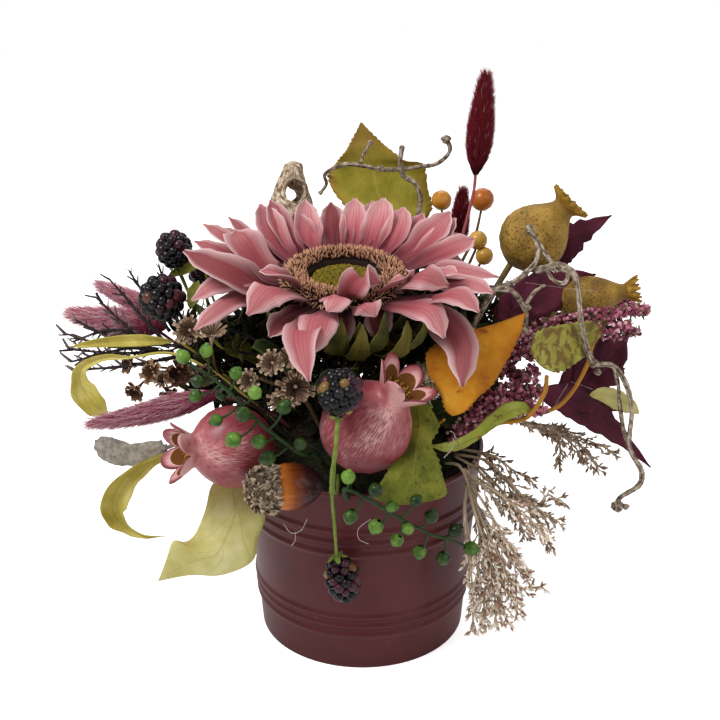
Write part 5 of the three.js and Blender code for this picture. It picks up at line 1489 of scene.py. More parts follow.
maroon_cloth = leaf_cloth("maroon_leaf_cloth", [(0.3, "#381020"), (0.5, "#551a2e"), (0.7, "#6c263c")],
                          "#7c3a4c",
                          "#3c1220", 0.4, side_veins=6.0, vein_amount=0.4, rough=0.6)
maroon_wire = shaded("maroon_stalk", [(0.0, "#35111c"), (1.0, "#5d2434")])
LANCE = [0.2, 0.7, 1.0, 0.9, 0.62, 0.36, 0.03]
for name, blades, stalks in (
    ("upper", [([(98, 45, 206), (112, 47, 214), (127, 48, 223), (144, 50, 232)], 19,
                dict(teeth=7, depth=0.35)),
               ([(106, 46.4, 209), (112, 47, 219), (116, 48, 229)], 12, dict(teeth=4, depth=0.3)),
               ([(104, 46, 208), (116, 46, 207), (126, 47, 211)], 10, dict(teeth=4, depth=0.3))],
     [[(100, 45, 207), (84, 39, 176), (44, 22, 118)]]),
    ("middle", [([(72, -6, 190), (90, 0, 197), (110, 9, 202), (130, 15, 207)], 22,
                 dict(teeth=8, depth=0.25, outline=[0.3, 0.8, 1.0, 1.0, 0.75, 0.5, 0.03])),
                ([(82, -4, 193), (90, 0, 204), (97, 2, 213)], 12, dict(teeth=4, depth=0.3)),
                ([(80, -6.5, 193), (90, -6.5, 188), (99, -5, 184)], 12, dict(teeth=4, depth=0.3, shade=0.3))],
     [[(74, -6, 191), (60, -3, 160), (42, 2, 119)]]),
    ("right", [([(118, 25, 128), (130, 27, 139), (142, 28, 151), (154, 30, 164)], 27,
                dict(teeth=8, depth=0.3, outline=[0.3, 0.8, 1.0, 0.95, 0.85, 0.6, 0.1])),
               ([(126, 26.6, 135), (133, 28, 151), (139, 28, 168)], 15, dict(teeth=5, depth=0.3, shade=0.35)),
               ([(128, 26.4, 137), (142, 26, 142), (154, 27, 146)], 13,
                dict(teeth=4, depth=0.35, shade=0.6))],
     [[(119, 25, 129), (90, 20, 134), (46, 12, 118)]]),
    ("lower", [([(100, 4, 141), (120, 6, 134), (144, 4, 117), (167, 0, 95)], 18,
                dict(teeth=5, depth=0.15, outline=[0.3, 0.8, 1.0, 0.9, 0.62, 0.3, 0.03], fold=0.3)),
               ([(116, 5.4, 134), (130, 7, 134), (147, 6, 128)], 13, dict(teeth=4, depth=0.3, shade=0.65))],
     [[(102, 4, 140), (84, 4, 132), (46, 0, 116)]])):
    for spine, width, options in blades:
        options.setdefault("outline", LANCE)
    leaf(f"maroon_leaf_{name}", maroon_cloth, "maroon_leaf", blades, stalks, wire=maroon_wire)

autumn_yellow = leaf_cloth("yellowed_leaf_cloth", [(0.3, "#93882a"), (0.46, "#ab9f36"), (0.62, "#bfb24a"),
                                                   (0.8, "#c8a648")], "#cfc26c", "#a5692a", 0.6,
                           vein_amount=0.35,
                           spots=("#a06a2a", 38.0, 0.34), side_veins=6.0, tip="#9a7038")
leaf("yellow_leaf_back", autumn_yellow, "yellow_leaf", [
    ([[(-2, 74, 214), (14, 75, 213), (32, 74, 215)],
      [(-7.4, 74, 228.1), (15.4, 76, 225.2), (41.1, 75, 229.1)],
      [(-17.5, 76, 241), (9.4, 80, 238.9), (39.1, 76, 241)],
      [(-19.8, 76, 251.2), (7, 81, 250.8), (35.2, 75, 256.4)],
      [(-15, 77, 257), (3.3, 80, 258.2), (24.5, 75, 259.2)],
      [(-10.2, 77, 263.5), (2.1, 79, 265.5), (15.1, 76, 266)],
      [(-5.5, 78, 271), (1, 79, 272.5), (7.4, 77, 272.3)], [(-0.8, 78, 280.9)] * 3], None,
     dict(teeth=24, depth=1.4, wave=1.4)),
], [[(12, 75, 224), (8, 60, 190), (4, 34, 118)]], wire=ochre_wire)

filler_cloth = leaf_cloth("dark_green_leaf_cloth", [(0.3, "#1b2712"), (0.48, "#2d3c19"), (0.64, "#465527"),
                                                    (0.8, "#6d7238")], "#5f6b36", "#4a4a22", 0.4,
                          side_veins=7.0)
UPWARD = (0, -0.35, 0.95)
leaf("green_leaf_front", filler_cloth, "green_leaf", [
    ([(-15, -50, 158), (-13, -60, 170), (-11, -70, 181), (-10, -77, 186)], 24, dict(up=UPWARD)),
    ([(-28, -34, 160), (-38, -42, 172), (-48, -50, 184), (-56, -56, 190)], 24, dict(up=UPWARD, shade=0.4)),
    ([(6, -40, 158), (14, -43, 164), (20, -44, 167), (26, -44, 168)], 20, dict(up=UPWARD, shade=0.3)),
], [[(-15, -51, 159), (-6, -34, 118)], [(-27, -34, 161), (-6, -34, 118)], [(7, -40, 161), (-6, -34, 118)]])
leaf("green_leaf_right", filler_cloth, "green_leaf", [
    ([(24, -22, 158), (33, -26, 168), (43, -28, 177), (54, -22, 183)], 22, dict(up=UPWARD)),
    ([(34, -10, 160), (52, -14, 172), (68, -18, 182), (80, -20, 188)], 24, dict(up=UPWARD, shade=0.35)),
    ([(30.6, -20, 135.6), (51.3, -26, 144), (67.9, -28, 151.3), (78.5, -24, 156.6)], 22,
     dict(up=FRONT, shade=0.2)),
], [[(25, -22, 159), (12, -20, 119)], [(35, -10, 161), (12, -20, 119)],
    [(31.6, -20.5, 136.6), (12, -20, 119)]])
for name, spines, root in (
    ("back", [[(-14, 50, 150), (-18, 64, 162), (-24, 78, 173), (-32, 92, 180)],
              [(2, 44, 156), (6, 56, 176), (8, 66, 196), (6, 74, 214)],
              [(-30, 44, 150), (-40, 60, 170), (-46, 70, 188), (-48, 74, 206)]], (-10, 22, 119)),
    ("back_left", [[(-48, 40, 148), (-62, 50, 157), (-80, 60, 163), (-98, 70, 162)],
                   [(-50, 30, 146), (-70, 34, 158), (-88, 38, 172), (-104, 40, 184)],
                   [(-40, 44, 140), (-54, 62, 140), (-66, 76, 136), (-76, 86, 128)]], (-26, 28, 117)),
    ("back_right", [[(34, 62, 146), (46, 73, 153), (60, 86, 158), (74, 96, 156)],
                    [(40, 46, 150), (58, 56, 164), (76, 64, 176), (92, 68, 184)],
                    [(24, 56, 136), (26, 74, 136), (26, 88, 132), (24, 97, 124)]], (8, 42, 116))):
    blades = [(spine, 30 - 3 * k, dict(up=(0, 0.3, 1), shade=0.3 + 0.3 * k, teeth=12, depth=0.08))
              for k, spine in enumerate(spines)]
    leaf(f"green_leaf_{name}", filler_cloth, "green_leaf", blades,
         [[tuple(Vector(spine[0]) + Vector((0, 0, 1))), root] for spine in spines])

# ---- Dried leaves ----
# Real preserved leaves that curled as they dried: thin, straw-yellow, with browned veins and small spots. A
# broad one folds over the bucket's shoulder on the left.

straw_leaf = leaf_cloth("preserved_leaf",
                        [(0.3, "#a5963c"), (0.48, "#c0b052"), (0.62, "#d2c472"), (0.8, "#ddd293")],
                        "#8f6a4a", "#b9a95c", 0.25, side_veins=5.0, slant=0.8, vein_amount=0.55, relief=0.3,
                        spots=("#5a4126", 28.0, 0.24), rough=0.6)
pale_leaf = leaf_cloth("pale_preserved_leaf", [(0.3, "#b6a95d"), (0.5, "#c9bf79"), (0.7, "#d9d198")],
                       "#a3965a",
                       "#c2b66a", 0.2, side_veins=4.0, slant=0.7, vein_amount=0.4, relief=0.3, rough=0.6)
leaf("dried_leaf_curled", straw_leaf, "dried_leaf", [
    ([(-97, -36, 123), (-112, -40, 120), (-126, -43, 112), (-134, -44, 102), (-136, -45, 91), (-130, -46, 82),
      (-120, -47, 77), (-108, -48, 77)], 14,
     dict(up=(0.3, -1, 0), outline=[0.16, 0.35, 0.7, 1.0, 1.0, 0.7, 0.3, 0.2, 0.03], fold=0.5, curl=0.5,
          wave=0.1,
          rows=48)),
], [[(-97, -36, 123), (-76, -28, 122), (-42, -15, 114)]])
leaf("dried_leaf_long", straw_leaf, "dried_leaf", [
    ([(-102, -15, 178), (-120, -14, 178.5), (-140, -13, 177), (-160, -12, 174)], 6.5,
     dict(up=(0, -1, 0.3), fold=0.3, curl=0.2, shade=0.4)),
], [[(-101, -16, 180), (-84, -12, 165), (-62, -11, 143), (-40, -10, 115)]])
leaf("dried_leaf_drooping", straw_leaf, "dried_leaf", [
    ([(-124, -23, 172), (-140, -21, 171), (-152, -21, 165), (-153, -21, 155), (-147, -22, 145),
      (-139, -22, 137)], 14,
     dict(up=(0.2, -1, 0.2), outline=[0.1, 0.25, 0.35, 0.6, 1.0, 0.9, 0.1], fold=0.25, curl=0.3, rows=36)),
], [[(-125, -23, 172), (-100, -26, 175), (-72, -25, 158), (-36, -22, 121)]])
leaf("dried_leaf_folded", pale_leaf, "dried_leaf", [
    ([[(-74, -56, 118), (-66, -54, 117.5), (-56, -50, 116)],
      [(-79.7, -60, 113.3), (-68.9, -58, 112.2), (-58.1, -56, 109.4)],
      [(-82.6, -66, 102.3), (-66.9, -67, 101.7), (-51.4, -64, 98.8)],
      [(-87.5, -72, 92), (-71.3, -74, 91.4), (-54.9, -70, 88.5)],
      [(-92.2, -77, 90.1), (-76.2, -80, 84.8), (-58.1, -74, 77)],
      [(-97.4, -82, 93.6), (-86.4, -81, 81.8), (-73.7, -78, 71)],
      [(-101.5, -83, 83), (-97.9, -82, 76.4), (-90.1, -80, 72.2)], [(-106.6, -82, 69.8)] * 3], None,
     dict(count=48, wave=0.9, across=16)),
], [[(-57, -54, 114), (-50, -46, 117.5), (-42, -35, 112)]])
paler = Shell()
patch(paler, [[(128, -1, 141)] * 3, [(134, -2, 146), (136, -3, 142), (137, -2, 136)],
              [(146, -2, 143), (147, -3.5, 138), (145, -2, 132)],
              [(154, -2, 137), (154, -3, 134), (153, -2, 130)],
              [(157, -2, 130)] * 3], teeth=9, depth=0.8, wave=0.7)
settle(paler.made("pale_leaf_right", pale_leaf, thickness=LEAF_CLOTH), "dried_leaf")

# Three scraps of olive leaf lie between the stems on the left, behind the seed heads.
scrap_cloth = leaf_cloth("olive_scrap_leaf", [(0.3, "#5a5a1e"), (0.5, "#80802e"), (0.7, "#a5a54a")],
                         "#a8a45c",
                         "#8a7a3a", 0.3, side_veins=5.0)
leaf("olive_scraps_left", scrap_cloth, "green_leaf", [
    ([(-86, 0, 216), (-92, 1, 217), (-99, 3, 213), (-107, 4, 209)], 7, dict(up=FRONT, fold=0.3)),
    ([(-90, 2, 207), (-91.5, 1, 202), (-93, 0, 197), (-94.5, -2, 192)], 8, dict(up=FRONT, shade=0.8)),
    ([(-50, -12, 164), (-60, -13, 170), (-71, -14, 174), (-82, -14, 179)], 17, dict(up=UPWARD, shade=0.4)),
], [[(-86, 0, 216), (-80, 4, 190), (-60, 6, 150), (-36, 6, 118)],
    [(-90, 2, 207), (-82, 6, 186), (-70, 6, 162)],
    [(-50, -12, 164), (-40, -8, 142), (-32, -6, 119)]])

# ---- Curly twigs and bark ----
# Corkscrew willow with grey-brown flaking bark, knots where side twigs broke off, and swollen ends. Three
# lumps of bark and lichen are wired in too: a hollow curl behind, a grey slab on the left and a fibrous tuft
# in front.


def bark(name, low, middle, high):
    """Dry bark: cracks drawn out along the twig, pale where the skin has flaked."""
    made, tree, shader = material(name, Roughness=0.85, Specular_IOR_Level=0.25)
    uv = add(tree, "UVMap", uv_map="UVMap").outputs[0]
    place = add(tree, "TexCoord").outputs["Object"]
    drawn = lines_of(tree, uv, 9.0, 7.0, detail=6.0)
    cloud = add(tree, "TexNoise", {"Vector": place, "Scale": 420.0, "Detail": 4.0}).outputs["Fac"]
    both = add(tree, "Math", {0: drawn, 1: cloud}, operation="ADD").outputs[0]
    half = add(tree, "Math", {0: both, 1: 0.5}, operation="MULTIPLY").outputs[0]
    tint = add(tree, "ValToRGB", {"Fac": half}, stops=[(0.4, low), (0.5, middle), (0.6, high)])
    return surfaced(made, tree, shader, tint.outputs["Color"], half, 0.7, 0.0012)


willow_bark = bark("grey_willow_bark", "#4a3c33", "#8d7c6b", "#c6b8a3")
fungus_bark = bark("hollow_bark", "#67523f", "#b09a80", "#e4d5be")
lichen_bark = bark("grey_lichen_slab", "#7d756b", "#938b80", "#a69f94")


def knot(shell, centre, radius, seed):
    """A lumpy ball where a twig ends or a side twig broke away."""
    chance = random.Random(seed)
    lumps = [chance.uniform(-0.2, 0.2) for _ in range(8)]

    def lump(angle, height):
        return 0.25 * math.sin(3 * angle + lumps[0] * 9) + lumps[int(4 + 3.9 * height / radius / MM) % 8]

    turned(shell, [(max(0, math.sin(math.pi * k / 8)) * radius * MM, -math.cos(math.pi * k / 8) * radius * MM)
                   for k in range(9)], 12, Matrix.Translation(Vector(centre) * MM), ripple=lump)


def twig(name, branches, knots, seed):
    """Branches of (points, radii), each with a lumpy skin, and the knots on them."""
    shell = Shell()
    for k, (points, radii) in enumerate(branches):
        length = sum((Vector(b) - Vector(a)).length for a, b in zip(points, points[1:]))
        rod(shell, smooth_line(points, max(12, int(length / 1.6))), [r * MM for r in radii], 9, rough=0.11,
            seed=seed + k)
    for k, (centre, radius) in enumerate(knots):
        knot(shell, centre, radius, seed + k)
    settle(shell.made(name, willow_bark), "twig_bark", name)


twig("curly_twig_right", [
    ([(87, -22, 187), (86, -22, 198), (78, -25, 210), (67, -25, 211)], [1.1, 1.6, 1.5]),
    ([(85.5, -22.3, 200), (91, -18, 207), (97, -14, 210)], [1.2, 0.9]),
    ([(67, -25, 211), (78, -21, 213), (86, -18, 218), (92, -14, 224), (92, -10, 233), (88, -8, 239)],
     [1.6, 1.5, 1.3, 1.7]),
    ([(88, -8, 239), (94, -10, 230), (100, -12, 222), (104, -13, 218)], [1.7, 1.4, 1.6]),
    ([(97, -12, 219), (101, -15, 213), (107, -15, 211), (109, -13, 216), (104, -12, 219)], [1.2, 1.3]),
    ([(91, -15, 218), (104, -12, 220), (112.5, -14, 215), (114.6, -21, 203.3), (117.2, -23, 186.2),
      (124.7, -20, 168.3),
      (137, -12, 163), (145, -12, 153), (150, -12, 137), (150, -14, 115), (158, -14, 100), (157, -15, 91),
      (147, -16, 84), (146, -16, 79)], [1.9, 2.1, 1.6, 1.5, 1.7, 1.5, 1.6, 1.3, 1.5, 1.7, 1.4, 1.7]),
    ([(138, -12, 163), (142, -9, 150), (144, -8, 138), (147, -8, 124), (150, -13, 113)],
     [1.4, 1.0, 1.3, 0.9]),
    ([(69, -24.6, 211.3), (58, -20, 186), (46, -14, 146), (40, -10, 121)], [1.7]),
], [((146, -16, 78), 3.3), ((88, -8, 239), 2.3), ((103, -12, 219), 2.9), ((126, -14, 165), 2.6),
    ((129, -14, 160), 2.0),
    ((67, -25, 211), 2.2), ((87, -22, 187), 1.8), ((87, -22, 200), 1.9), ((151, -14.5, 77), 1.9)], 61)
twig("curly_twig_top", [
    ([(-25, 80, 238.5), (-21.6, 84, 243), (-22.4, 77, 250), (-16, 68, 256), (-8, 64, 259), (2, 65, 257.5),
      (10, 66, 255.5),
      (22, 66, 255.5), (33, 66, 257), (42, 65, 258.5), (48, 63, 263), (50.5, 62, 268), (48.5, 62, 273.5)],
     [1.0, 1.1, 1.2, 1.4, 1.2, 1.3, 1.2, 1.3, 1.1, 1.4]),
    ([(-1, 65, 259.5), (1, 66, 265), (5, 67, 271)], [1.1, 0.8]),
    ([(23, 66, 268), (22, 65, 260), (24, 66, 252), (30, 66, 248), (33, 66, 243), (34, 66, 236), (32, 63, 226),
      (24, 52, 190), (14, 36, 150), (6, 20, 119)], [1.4, 1.6, 1.2]),
], [((48.2, 62, 273.5), 2.6), ((5, 67, 271), 1.4), ((23, 66, 268), 1.6), ((10, 66, 256), 2.0),
    ((-25, 80, 238.5), 1.4)],
    71)

curl = Shell()
FRONT_SEAM, BACK_SEAM = -72, 108
for half in (0, 1):
    rows = []
    for k in range(27):
        t = min(1, k / 23)
        close = (1, 0.75, 0.4, 0.03)[max(0, k - 23)]
        centre = Vector((-43 + 3 * t, 61, 228 + 30 * t + 1.6 * (1 - close)))
        front = 44 * math.sqrt(max(0, 1 - ((t - 0.6) / 0.22) ** 2))
        back = 34 * math.sqrt(max(0, 1 - ((t - 0.4) / 0.17) ** 2))
        start, end = BACK_SEAM + back, FRONT_SEAM + 360 - front
        if half:
            start, end = FRONT_SEAM + front, BACK_SEAM - back
        row = []
        for a in [math.radians(start + (end - start) * j / 15) for j in range(16)]:
            wide = 14.5 - 10.8 * t + 0.5 * math.sin(5 * a + 6 * t)
            wide = (wide + 0.35 * math.sin(11 * a - 14 * t)) * close
            row.append((centre + Vector((wide * math.cos(a), 0.75 * wide * math.sin(a),
                                         math.sin(2 * a + 1) * t))) * MM)
        rows.append(row)
    curl.grid(rows)
sheet = thick_sheet(curl, fungus_bark, 2.2 * MM)
curl_wire = Shell()
stalk(curl_wire, [(-43, 60, 236), (-30, 44, 180), (-14, 18, 118)], 1.2)
settle(joined("bark_back_left", sheet, curl_wire.made("wire", willow_bark)), "twig_bark", "bark_back_left")

slab = Shell()
chance = random.Random(6)
slab_line = smooth_line([(-108, -26, 118), (-120, -24, 115), (-132, -20, 113), (-142, -18, 115),
                         (-150, -16, 117)], 26)
rows = []
for i, point in enumerate(slab_line):
    t = i / 25
    wide = 7.4 * (1 - 0.35 * (2 * t - 0.9) ** 2) * (1 if 0.04 < t < 0.96 else 0.55)
    rows.append([point + Vector((0.2 * math.cos(a) * wide, 0.5 * wide * math.sin(a), wide * math.cos(a)
                                 + 1.2 * math.sin(3 * a + 9 * t) + chance.uniform(-0.35, 0.35))) * MM
                 for a in [WHOLE_TURN * j / 18 for j in range(18)]])
slab.grid(rows, closed=True, caps=True)
stalk(slab, [(-112, -25, 118), (-80, -8, 122), (-44, 2, 114)], 1.2)
settle(slab.made("bark_left", lichen_bark), "twig_bark", "bark_left")

fibre_grey = shaded("bark_fibres", [(0.0, "#74634f"), (0.5, "#b0a088"), (1.0, "#dccfb8")], scale=300.0)
tuft = Shell()
knot(tuft, (32.4, -48, 167.5), 6.6, 9)
fibre = small_rod([(0, 0, 0), (0.7, 0, 2.2), (0.2, 0, 4.2)], [0.4, 0.34, 0.16], sides=4, steps=4)
fibres = copies("fibres", tuft.made("tuft"), SCATTERED, fibre, fibre_grey, Size_Spread=0.5, Lean=1.25,
                Density=1.6e6, Seed=7)
bpy.data.objects.remove(fibre)
stalk(tuft, [(33, -44, 168), (30, -30, 142), (24, -16, 119)], 1.2)
settle(joined("bark_right", tuft.made("tuft", fibre_grey), fibres), "twig_bark", "bark_right")

# ---- Heather ----
# Three sprays crowded with pink moulded florets like beads among small green sepals, and one of bare dark
# twigs with short spurs that reaches out on the left.

bead = Shell()
turned(bead, [(math.sin(math.pi * k / 5), -math.cos(math.pi * k / 5)) for k in range(6)], 8)
bead = bead.made("bead")
pink_bead = shaded("pink_moulded_floret",
                   [(0.0, "#54202f"), (0.45, "#9a4a60"), (0.8, "#c5788f"), (1.0, "#e3b0bc")],
                   rough=0.4, spread=0.05)
spur_green = shaded("green_floret_sepal", [(0.0, "#3f4420"), (0.6, "#727340"), (1.0, "#a39c6a")])
spur = small_rod([(0, 0, 0), (0.1, 0, 1.4), (0.5, 0, 3.0)], [0.35, 0.5, 0.1], sides=4, steps=4)
FLORET_STEP = 0.27
SPUR_STEP = 2.2


def points_along(points, step):
    """Evenly spaced places of (point, way ahead, share of the length) on a line of millimetre points."""
    line = smooth_line(points, 60)
    lengths = [0.0]
    for a, b in zip(line, line[1:]):
        lengths.append(lengths[-1] + (b - a).length)
    places, k = [], 0
    count = max(2, int(lengths[-1] / (step * MM)))
    for n in range(count + 1):
        want = lengths[-1] * n / count
        while k < 58 and lengths[k + 1] < want:
            k += 1
        part = (want - lengths[k]) / max(1e-9, lengths[k + 1] - lengths[k])
        places.append((line[k].lerp(line[k + 1], part), (line[k + 1] - line[k]).normalized(), n / count))
    return places


def outward(ahead, angle):
    """The way out from a line at an angle round it."""
    across = ahead.orthogonal().normalized()
    return across * math.cos(angle) + ahead.cross(across) * math.sin(angle)


def pink_heather(name, branches, seed):
    """Branches of (points from the tip inwards, cluster radius, share of the length that carries florets)."""
    chance = random.Random(seed)
    beads, spurs = [], []
    shell = Shell()
    for points, radius, share in branches:
        rod(shell, smooth_line(points, 4 * len(points) + 4), [0.45 * MM, 0.9 * MM], 5, rough=0.1, seed=seed)
        for k, (point, ahead, t) in enumerate(points_along(points, FLORET_STEP)):
            if t > share:
                break
            angle = GOLDEN_ANGLE * k + chance.uniform(-0.5, 0.5)
            out = outward(ahead, angle)
            full = 0.35 + 0.65 * min(1, 5 * t)
            reach = radius * full * chance.uniform(0.4, 1.0)
            beads.append((point + out * reach * MM, out - ahead * 0.6, chance.uniform(0.85, 1.45) * MM, None))
            if k % 2:
                spurs.append((point + out * 0.75 * reach * MM, out - ahead * 0.5, 1.0, None))
    parts = [placed("florets", beads, bead, pink_bead, Size_Spread=0.2, Seed=seed),
             placed("spurs", spurs, spur, spur_green, Size_Spread=0.4, Lean=0.5, Seed=seed),
             shell.made("stems", spur_green)]
    settle(joined(name, *parts), "heather_pink", *nodes_of(name))


pink_heather("heather_pink_upper", [
    ([(165, 28, 182), (150, 27, 184), (134, 26, 182), (106, 26, 178), (72, 20, 156), (46, 17, 120)], 4.8,
     0.6),
    ([(158, 18, 172), (142, 18, 171), (128, 20, 174), (114, 26, 179)], 4.0, 0.95),
    ([(154, 32, 188), (138, 30, 186), (126, 26, 181)], 4.2, 0.95)], 81)
pink_heather("heather_pink_middle", [
    ([(95, -10, 185), (84, -14, 176), (72, -16, 162), (46, -6, 120)], 6.6, 0.85),
    ([(98, -18, 179), (90, -18, 172), (82, -14.5, 174)], 4.0, 0.95),
    ([(88, -24, 163), (82, -22, 160), (76, -15, 167)], 4.2, 0.95)], 82)
pink_heather("heather_pink_lower", [
    ([(98, -27, 155), (82, -32, 151), (66, -33, 144), (45, -18, 121)], 6.6, 0.9),
    ([(92, -28, 169), (88, -30, 160), (80, -32, 150.5)], 6.4, 0.95),
    ([(97, -42, 149), (86, -40, 150), (76, -32, 149.5)], 4.0, 0.95),
    ([(74, -40, 158), (66, -40, 150), (58, -34, 142)], 6.0, 0.95),
    ([(47.4, -46, 132.7), (59.5, -42, 144.9), (72.8, -38, 156.4), (84, -34, 158)], 6.0, 0.97)], 83)
pink_heather("heather_sprig_right", [
    ([(154.9, -8, 192.7), (139.7, -8, 192.7), (123.6, -9, 190), (107.7, -9, 187), (94, -2, 172),
      (46, -2, 119)], 4.4, 0.55),
    ([(146, -8, 186), (133, -8, 184), (121.9, -8, 182), (108, -8, 186)], 4.4, 0.97)], 86)
bpy.data.objects.remove(bead)

dark_twig = shaded("dark_heather_twig", [(0.0, "#30262a"), (0.5, "#574749"), (1.0, "#867373")], scale=250.0)
dark = Shell()
DARK_HEATHER = [
    [(-161, -6, 163), (-132, -8, 171), (-100, -7, 172), (-70, -6, 150), (-38, -5, 117)],
    [(-144, -8, 201), (-125, -9, 182), (-106, -7.5, 172)],
    [(-156, -8, 188), (-138, -8, 178), (-116, -8, 172)],
    [(-112, 10, 212), (-103, 0, 190), (-99, -7.5, 169.5)],
    [(-163, -7, 180), (-140, -10, 174), (-112, -8, 171)],
    [(-162, -5, 170), (-136, -6, 168), (-104, -8, 170)], [(-160, -9, 159), (-128, -12, 163), (-98, -9, 168)],
    [(-128, 6, 212), (-118, 2, 196), (-106, -4, 180)], [(-102, -20, 205), (-96, -14, 188), (-92, -8, 168)],
    [(-138, 2, 208), (-124, -2, 192), (-110, -6, 176)], [(-160, -4, 174), (-140, -8, 182), (-122, -8, 180)]]
spurs = []
chance = random.Random(84)
for points in DARK_HEATHER:
    rod(dark, smooth_line(points, 22), [0.55 * MM, 1.0 * MM, 1.2 * MM], 5, rough=0.2, seed=len(spurs))
    for k, (point, ahead, t) in enumerate(points_along(points, SPUR_STEP)):
        if t > (0.45 if len(points) == 5 else 0.95):
            break
        angle = TURN_STEP * k + chance.uniform(-0.6, 0.6)
        out = outward(ahead, angle)
        spurs.append((point, out * 0.8 - ahead, chance.uniform(0.7, 1.7), None))
dark_spur = small_rod([(0, 0, 0), (0, 0.15, 1.8), (0, 0.5, 4.2)], [0.46, 0.42, 0.3], sides=4, steps=4)
bare = placed("spurs", spurs, dark_spur, dark_twig, Size_Spread=0.4, Lean=0.25, Seed=85)
bpy.data.objects.remove(dark_spur)
settle(joined("heather_dark_left", dark.made("twigs", dark_twig), bare), "heather_dark", "heather_dark_left")

# ---- Grass plumes ----
# Bleached and brown panicle grasses that hang over the rim: thin branching straw stems crowded with little
# husks.

straw = shaded("bleached_straw", [(0.0, "#bba68c"), (0.5, "#e4d4bd"), (1.0, "#f8f0e3")], scale=200.0)
husk_tan = shaded("grass_husks", [(0.0, "#875f4b"), (0.3, "#bf9e87"), (0.55, "#e8d5be"), (1.0, "#fdf6ea")],
                  scale=200.0)
husk = small_rod([(0, 0, 0), (0, 0, 0.8), (0.1, 0, 1.9), (0.25, 0, 3.0)], [0.2, 0.58, 0.5, 0.08], sides=5,
                 steps=6)
GRASS_STEP = 2.2
GRASS_REACH = 9


def grass(name, lines, finish, husk_size, seed):
    """Along each line side stems leave on all sides, each with husks towards its end."""
    chance = random.Random(seed)
    shell = Shell()
    husks = []
    for points, bare in lines:
        rod(shell, smooth_line(points, 20), [0.4 * MM, 0.7 * MM, 0.9 * MM], 5, rough=0.15, seed=seed)
        for k, (point, ahead, t) in enumerate(points_along(points, GRASS_STEP)):
            if t > bare:
                break
            angle = TURN_STEP * k + chance.uniform(-0.5, 0.5)
            out = outward(ahead, angle)
            way = (out * chance.uniform(0.35, 0.8) - ahead).normalized()
            long = GRASS_REACH * chance.uniform(0.5, 1.0) * min(1, 0.45 + 2.2 * t)
            end = point + way * long * MM + Vector((0, 0, -0.12 * long)) * MM
            bow = point.lerp(end, 0.5) + out * 0.1 * long * MM
            side = [point, point.lerp(bow, 0.5) + out * 0.05 * long * MM, bow, bow.lerp(end, 0.5), end]
            rod(shell, side, [0.45 * MM, 0.28 * MM], 4, rough=0.1, seed=k)
            for n in range(5):
                t_side = 0.35 + 0.16 * n
                spot = side[0].lerp(end, t_side) + out * 0.1 * long * MM * math.sin(math.pi * t_side)
                lean = Vector((chance.uniform(-1, 1), chance.uniform(-1, 1), chance.uniform(-1, 1)))
                husks.append((spot, way + 0.75 * lean, husk_size * chance.uniform(0.7, 1.2), None))
    seeds = placed("husks", husks, husk, finish, Size_Spread=0.2, Seed=seed)
    settle(joined(name, shell.made("stems", straw), seeds), "dried_grass", name)


grass("grass_plume_front", [
    ([(84, -70, 42), (78, -68, 55), (73, -66, 66), (64, -61, 88), (58, -55, 106), (52, -47, 119),
      (42, -34, 114)], 0.62),
    ([(61, -64, 27), (60, -63.5, 44), (62, -63, 60), (62, -60, 92), (56, -50, 114)], 0.66),
    ([(72, -68, 33), (72, -67, 45), (70, -66, 56), (64, -61.5, 86), (58, -50, 112)], 0.66),
    ([(97, -64, 55), (92, -66, 56), (84, -68, 57), (73, -66, 68), (64, -56, 96)], 0.6),
    ([(66, -66, 30), (66, -66, 48), (66, -64, 70), (60, -56, 98)], 0.7),
    ([(78, -70, 36), (74, -69, 50), (68, -65, 70), (60, -56, 100)], 0.65),
    ([(88, -66, 62), (80, -64, 70), (70, -60, 84), (58, -52, 104)], 0.7),
    ([(82, -66, 74), (74, -63, 80), (66, -58, 92), (54, -48, 110)], 0.75),
    ([(60.4, -66, 44.2), (57.2, -66, 72.8), (53.6, -62, 97.7), (56, -50, 112)], 0.62),
    ([(74.3, -67, 44.9), (67.8, -67, 73.4), (58.7, -62, 100.7), (56, -50, 112)], 0.62),
    ([(87.2, -68, 65.5), (75.7, -67, 85.6), (62.9, -61, 106.1), (56, -50, 112)], 0.62),
    ([(98, -66, 86.2), (84.8, -65, 100), (66.9, -60, 112.7), (56, -50, 112)], 0.62),
    ([(84.9, -68, 46.8), (75.2, -68, 70.4), (63.2, -62, 94.8), (56, -50, 112)], 0.6),
    ([(67.3, -66, 34.1), (63, -66, 60.5), (54.8, -61, 94.2), (56, -50, 112)], 0.62)], husk_tan, 1.05, 91)
brown_husk = shaded("brown_grass_husks", [(0.0, "#6b5343"), (0.5, "#a58c74"), (1.0, "#d2bfa8")], scale=200.0)
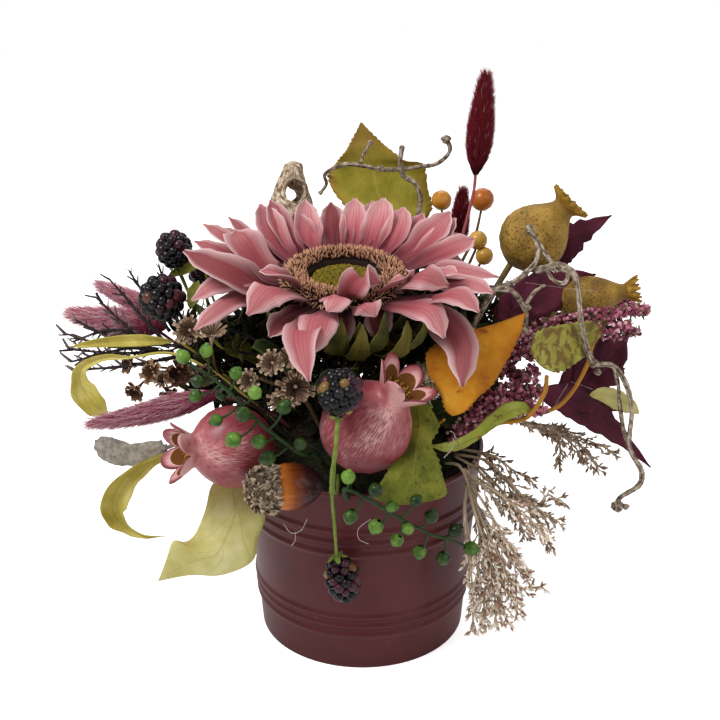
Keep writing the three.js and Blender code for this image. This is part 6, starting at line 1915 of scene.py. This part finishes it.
grass("grass_plume_right", [
    ([(106, -52, 88), (100, -51, 91), (94, -50, 95), (82, -46, 104), (68, -40, 118), (50, -30, 118)], 0.8),
    ([(101, -56, 76), (99, -55, 81), (96, -54, 86), (86, -47.5, 101), (70, -40, 114)], 0.8),
    ([(108, -42, 96), (104, -43, 98), (100, -44, 100), (92, -50, 96.5), (76, -44, 112)], 0.75),
    ([(88, -54, 80), (84, -52, 90), (76, -47, 103), (60, -38, 118)], 0.8),
    ([(92, -38, 106), (82, -38, 112), (70, -36, 120), (54, -28, 120)], 0.8),
    ([(80, -58, 96), (72, -54, 106), (62, -46, 116), (50, -32, 118)], 0.8),
    ([(72, -62, 104), (64, -58, 112), (54, -48, 118)], 0.85)], brown_husk, 1.05, 92)
grass("grass_plume_back", [
    ([(150, 20, 95), (140, 18, 101), (128, 17, 106), (106, 14, 113), (84, 10, 121), (50, 6, 112)], 0.72),
    ([(119, 26, 84), (119, 25, 91), (118, 24, 98), (112, 15, 112), (92, 12, 119)], 0.85),
    ([(140, 10, 88), (136, 11, 93), (132, 12, 98), (120, 16, 110), (98, 12, 117)], 0.8),
    ([(132, 22, 90), (126, 20, 99), (116, 16, 108), (92, 10, 118)], 0.8)], brown_husk, 1.15, 93)
for used in (husk, spur):
    bpy.data.objects.remove(used)

# ---- Hot-melt threads ----
# Fine threads of clear glue pulled out where the pieces were stuck: loops under the acorn, between the leaves
# and across the bucket's front.

clear_glue, _, _ = material("clear_glue_thread", Base_Color=srgb("#d9d4cc"), Roughness=0.25,
                            Transmission_Weight=0.35)
threads = Shell()
for points, radius in (
    ([(-40, -88, 107), (-36, -92, 104), (-31, -91, 105), (-28, -86, 109)], 0.22),
    ([(-34, -91, 104), (-34, -92, 100), (-36, -91, 96)], 0.14),
    ([(4, -92, 112), (-2, -91, 106), (-2, -91, 100), (3, -91, 97)], 0.15),
    ([(46, -70, 146), (45, -72, 141), (41, -74, 137)], 0.25),
    ([(47, -70, 146), (46, -70, 149), (44, -70, 150)], 0.2),
    ([(52, -82, 108), (51, -84, 103), (49, -84, 99)], 0.25),
    ([(60, -36, 140), (76, -44, 128), (76, -46, 112), (70, -48, 98)], 0.06),
    ([(86, -20, 213), (104, -22, 211), (124, -22, 209)], 0.05),
    ([(110, -30, 160), (103, -32, 146), (102, -34, 134)], 0.08), ([(112, -28, 160), (126, -20, 152)], 0.06)):
    rod(threads, smooth_line(points, 16), [radius * MM], 5, rough=0.25)
settle(threads.made("glue_threads", clear_glue), "coated_wire")

low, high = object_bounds()
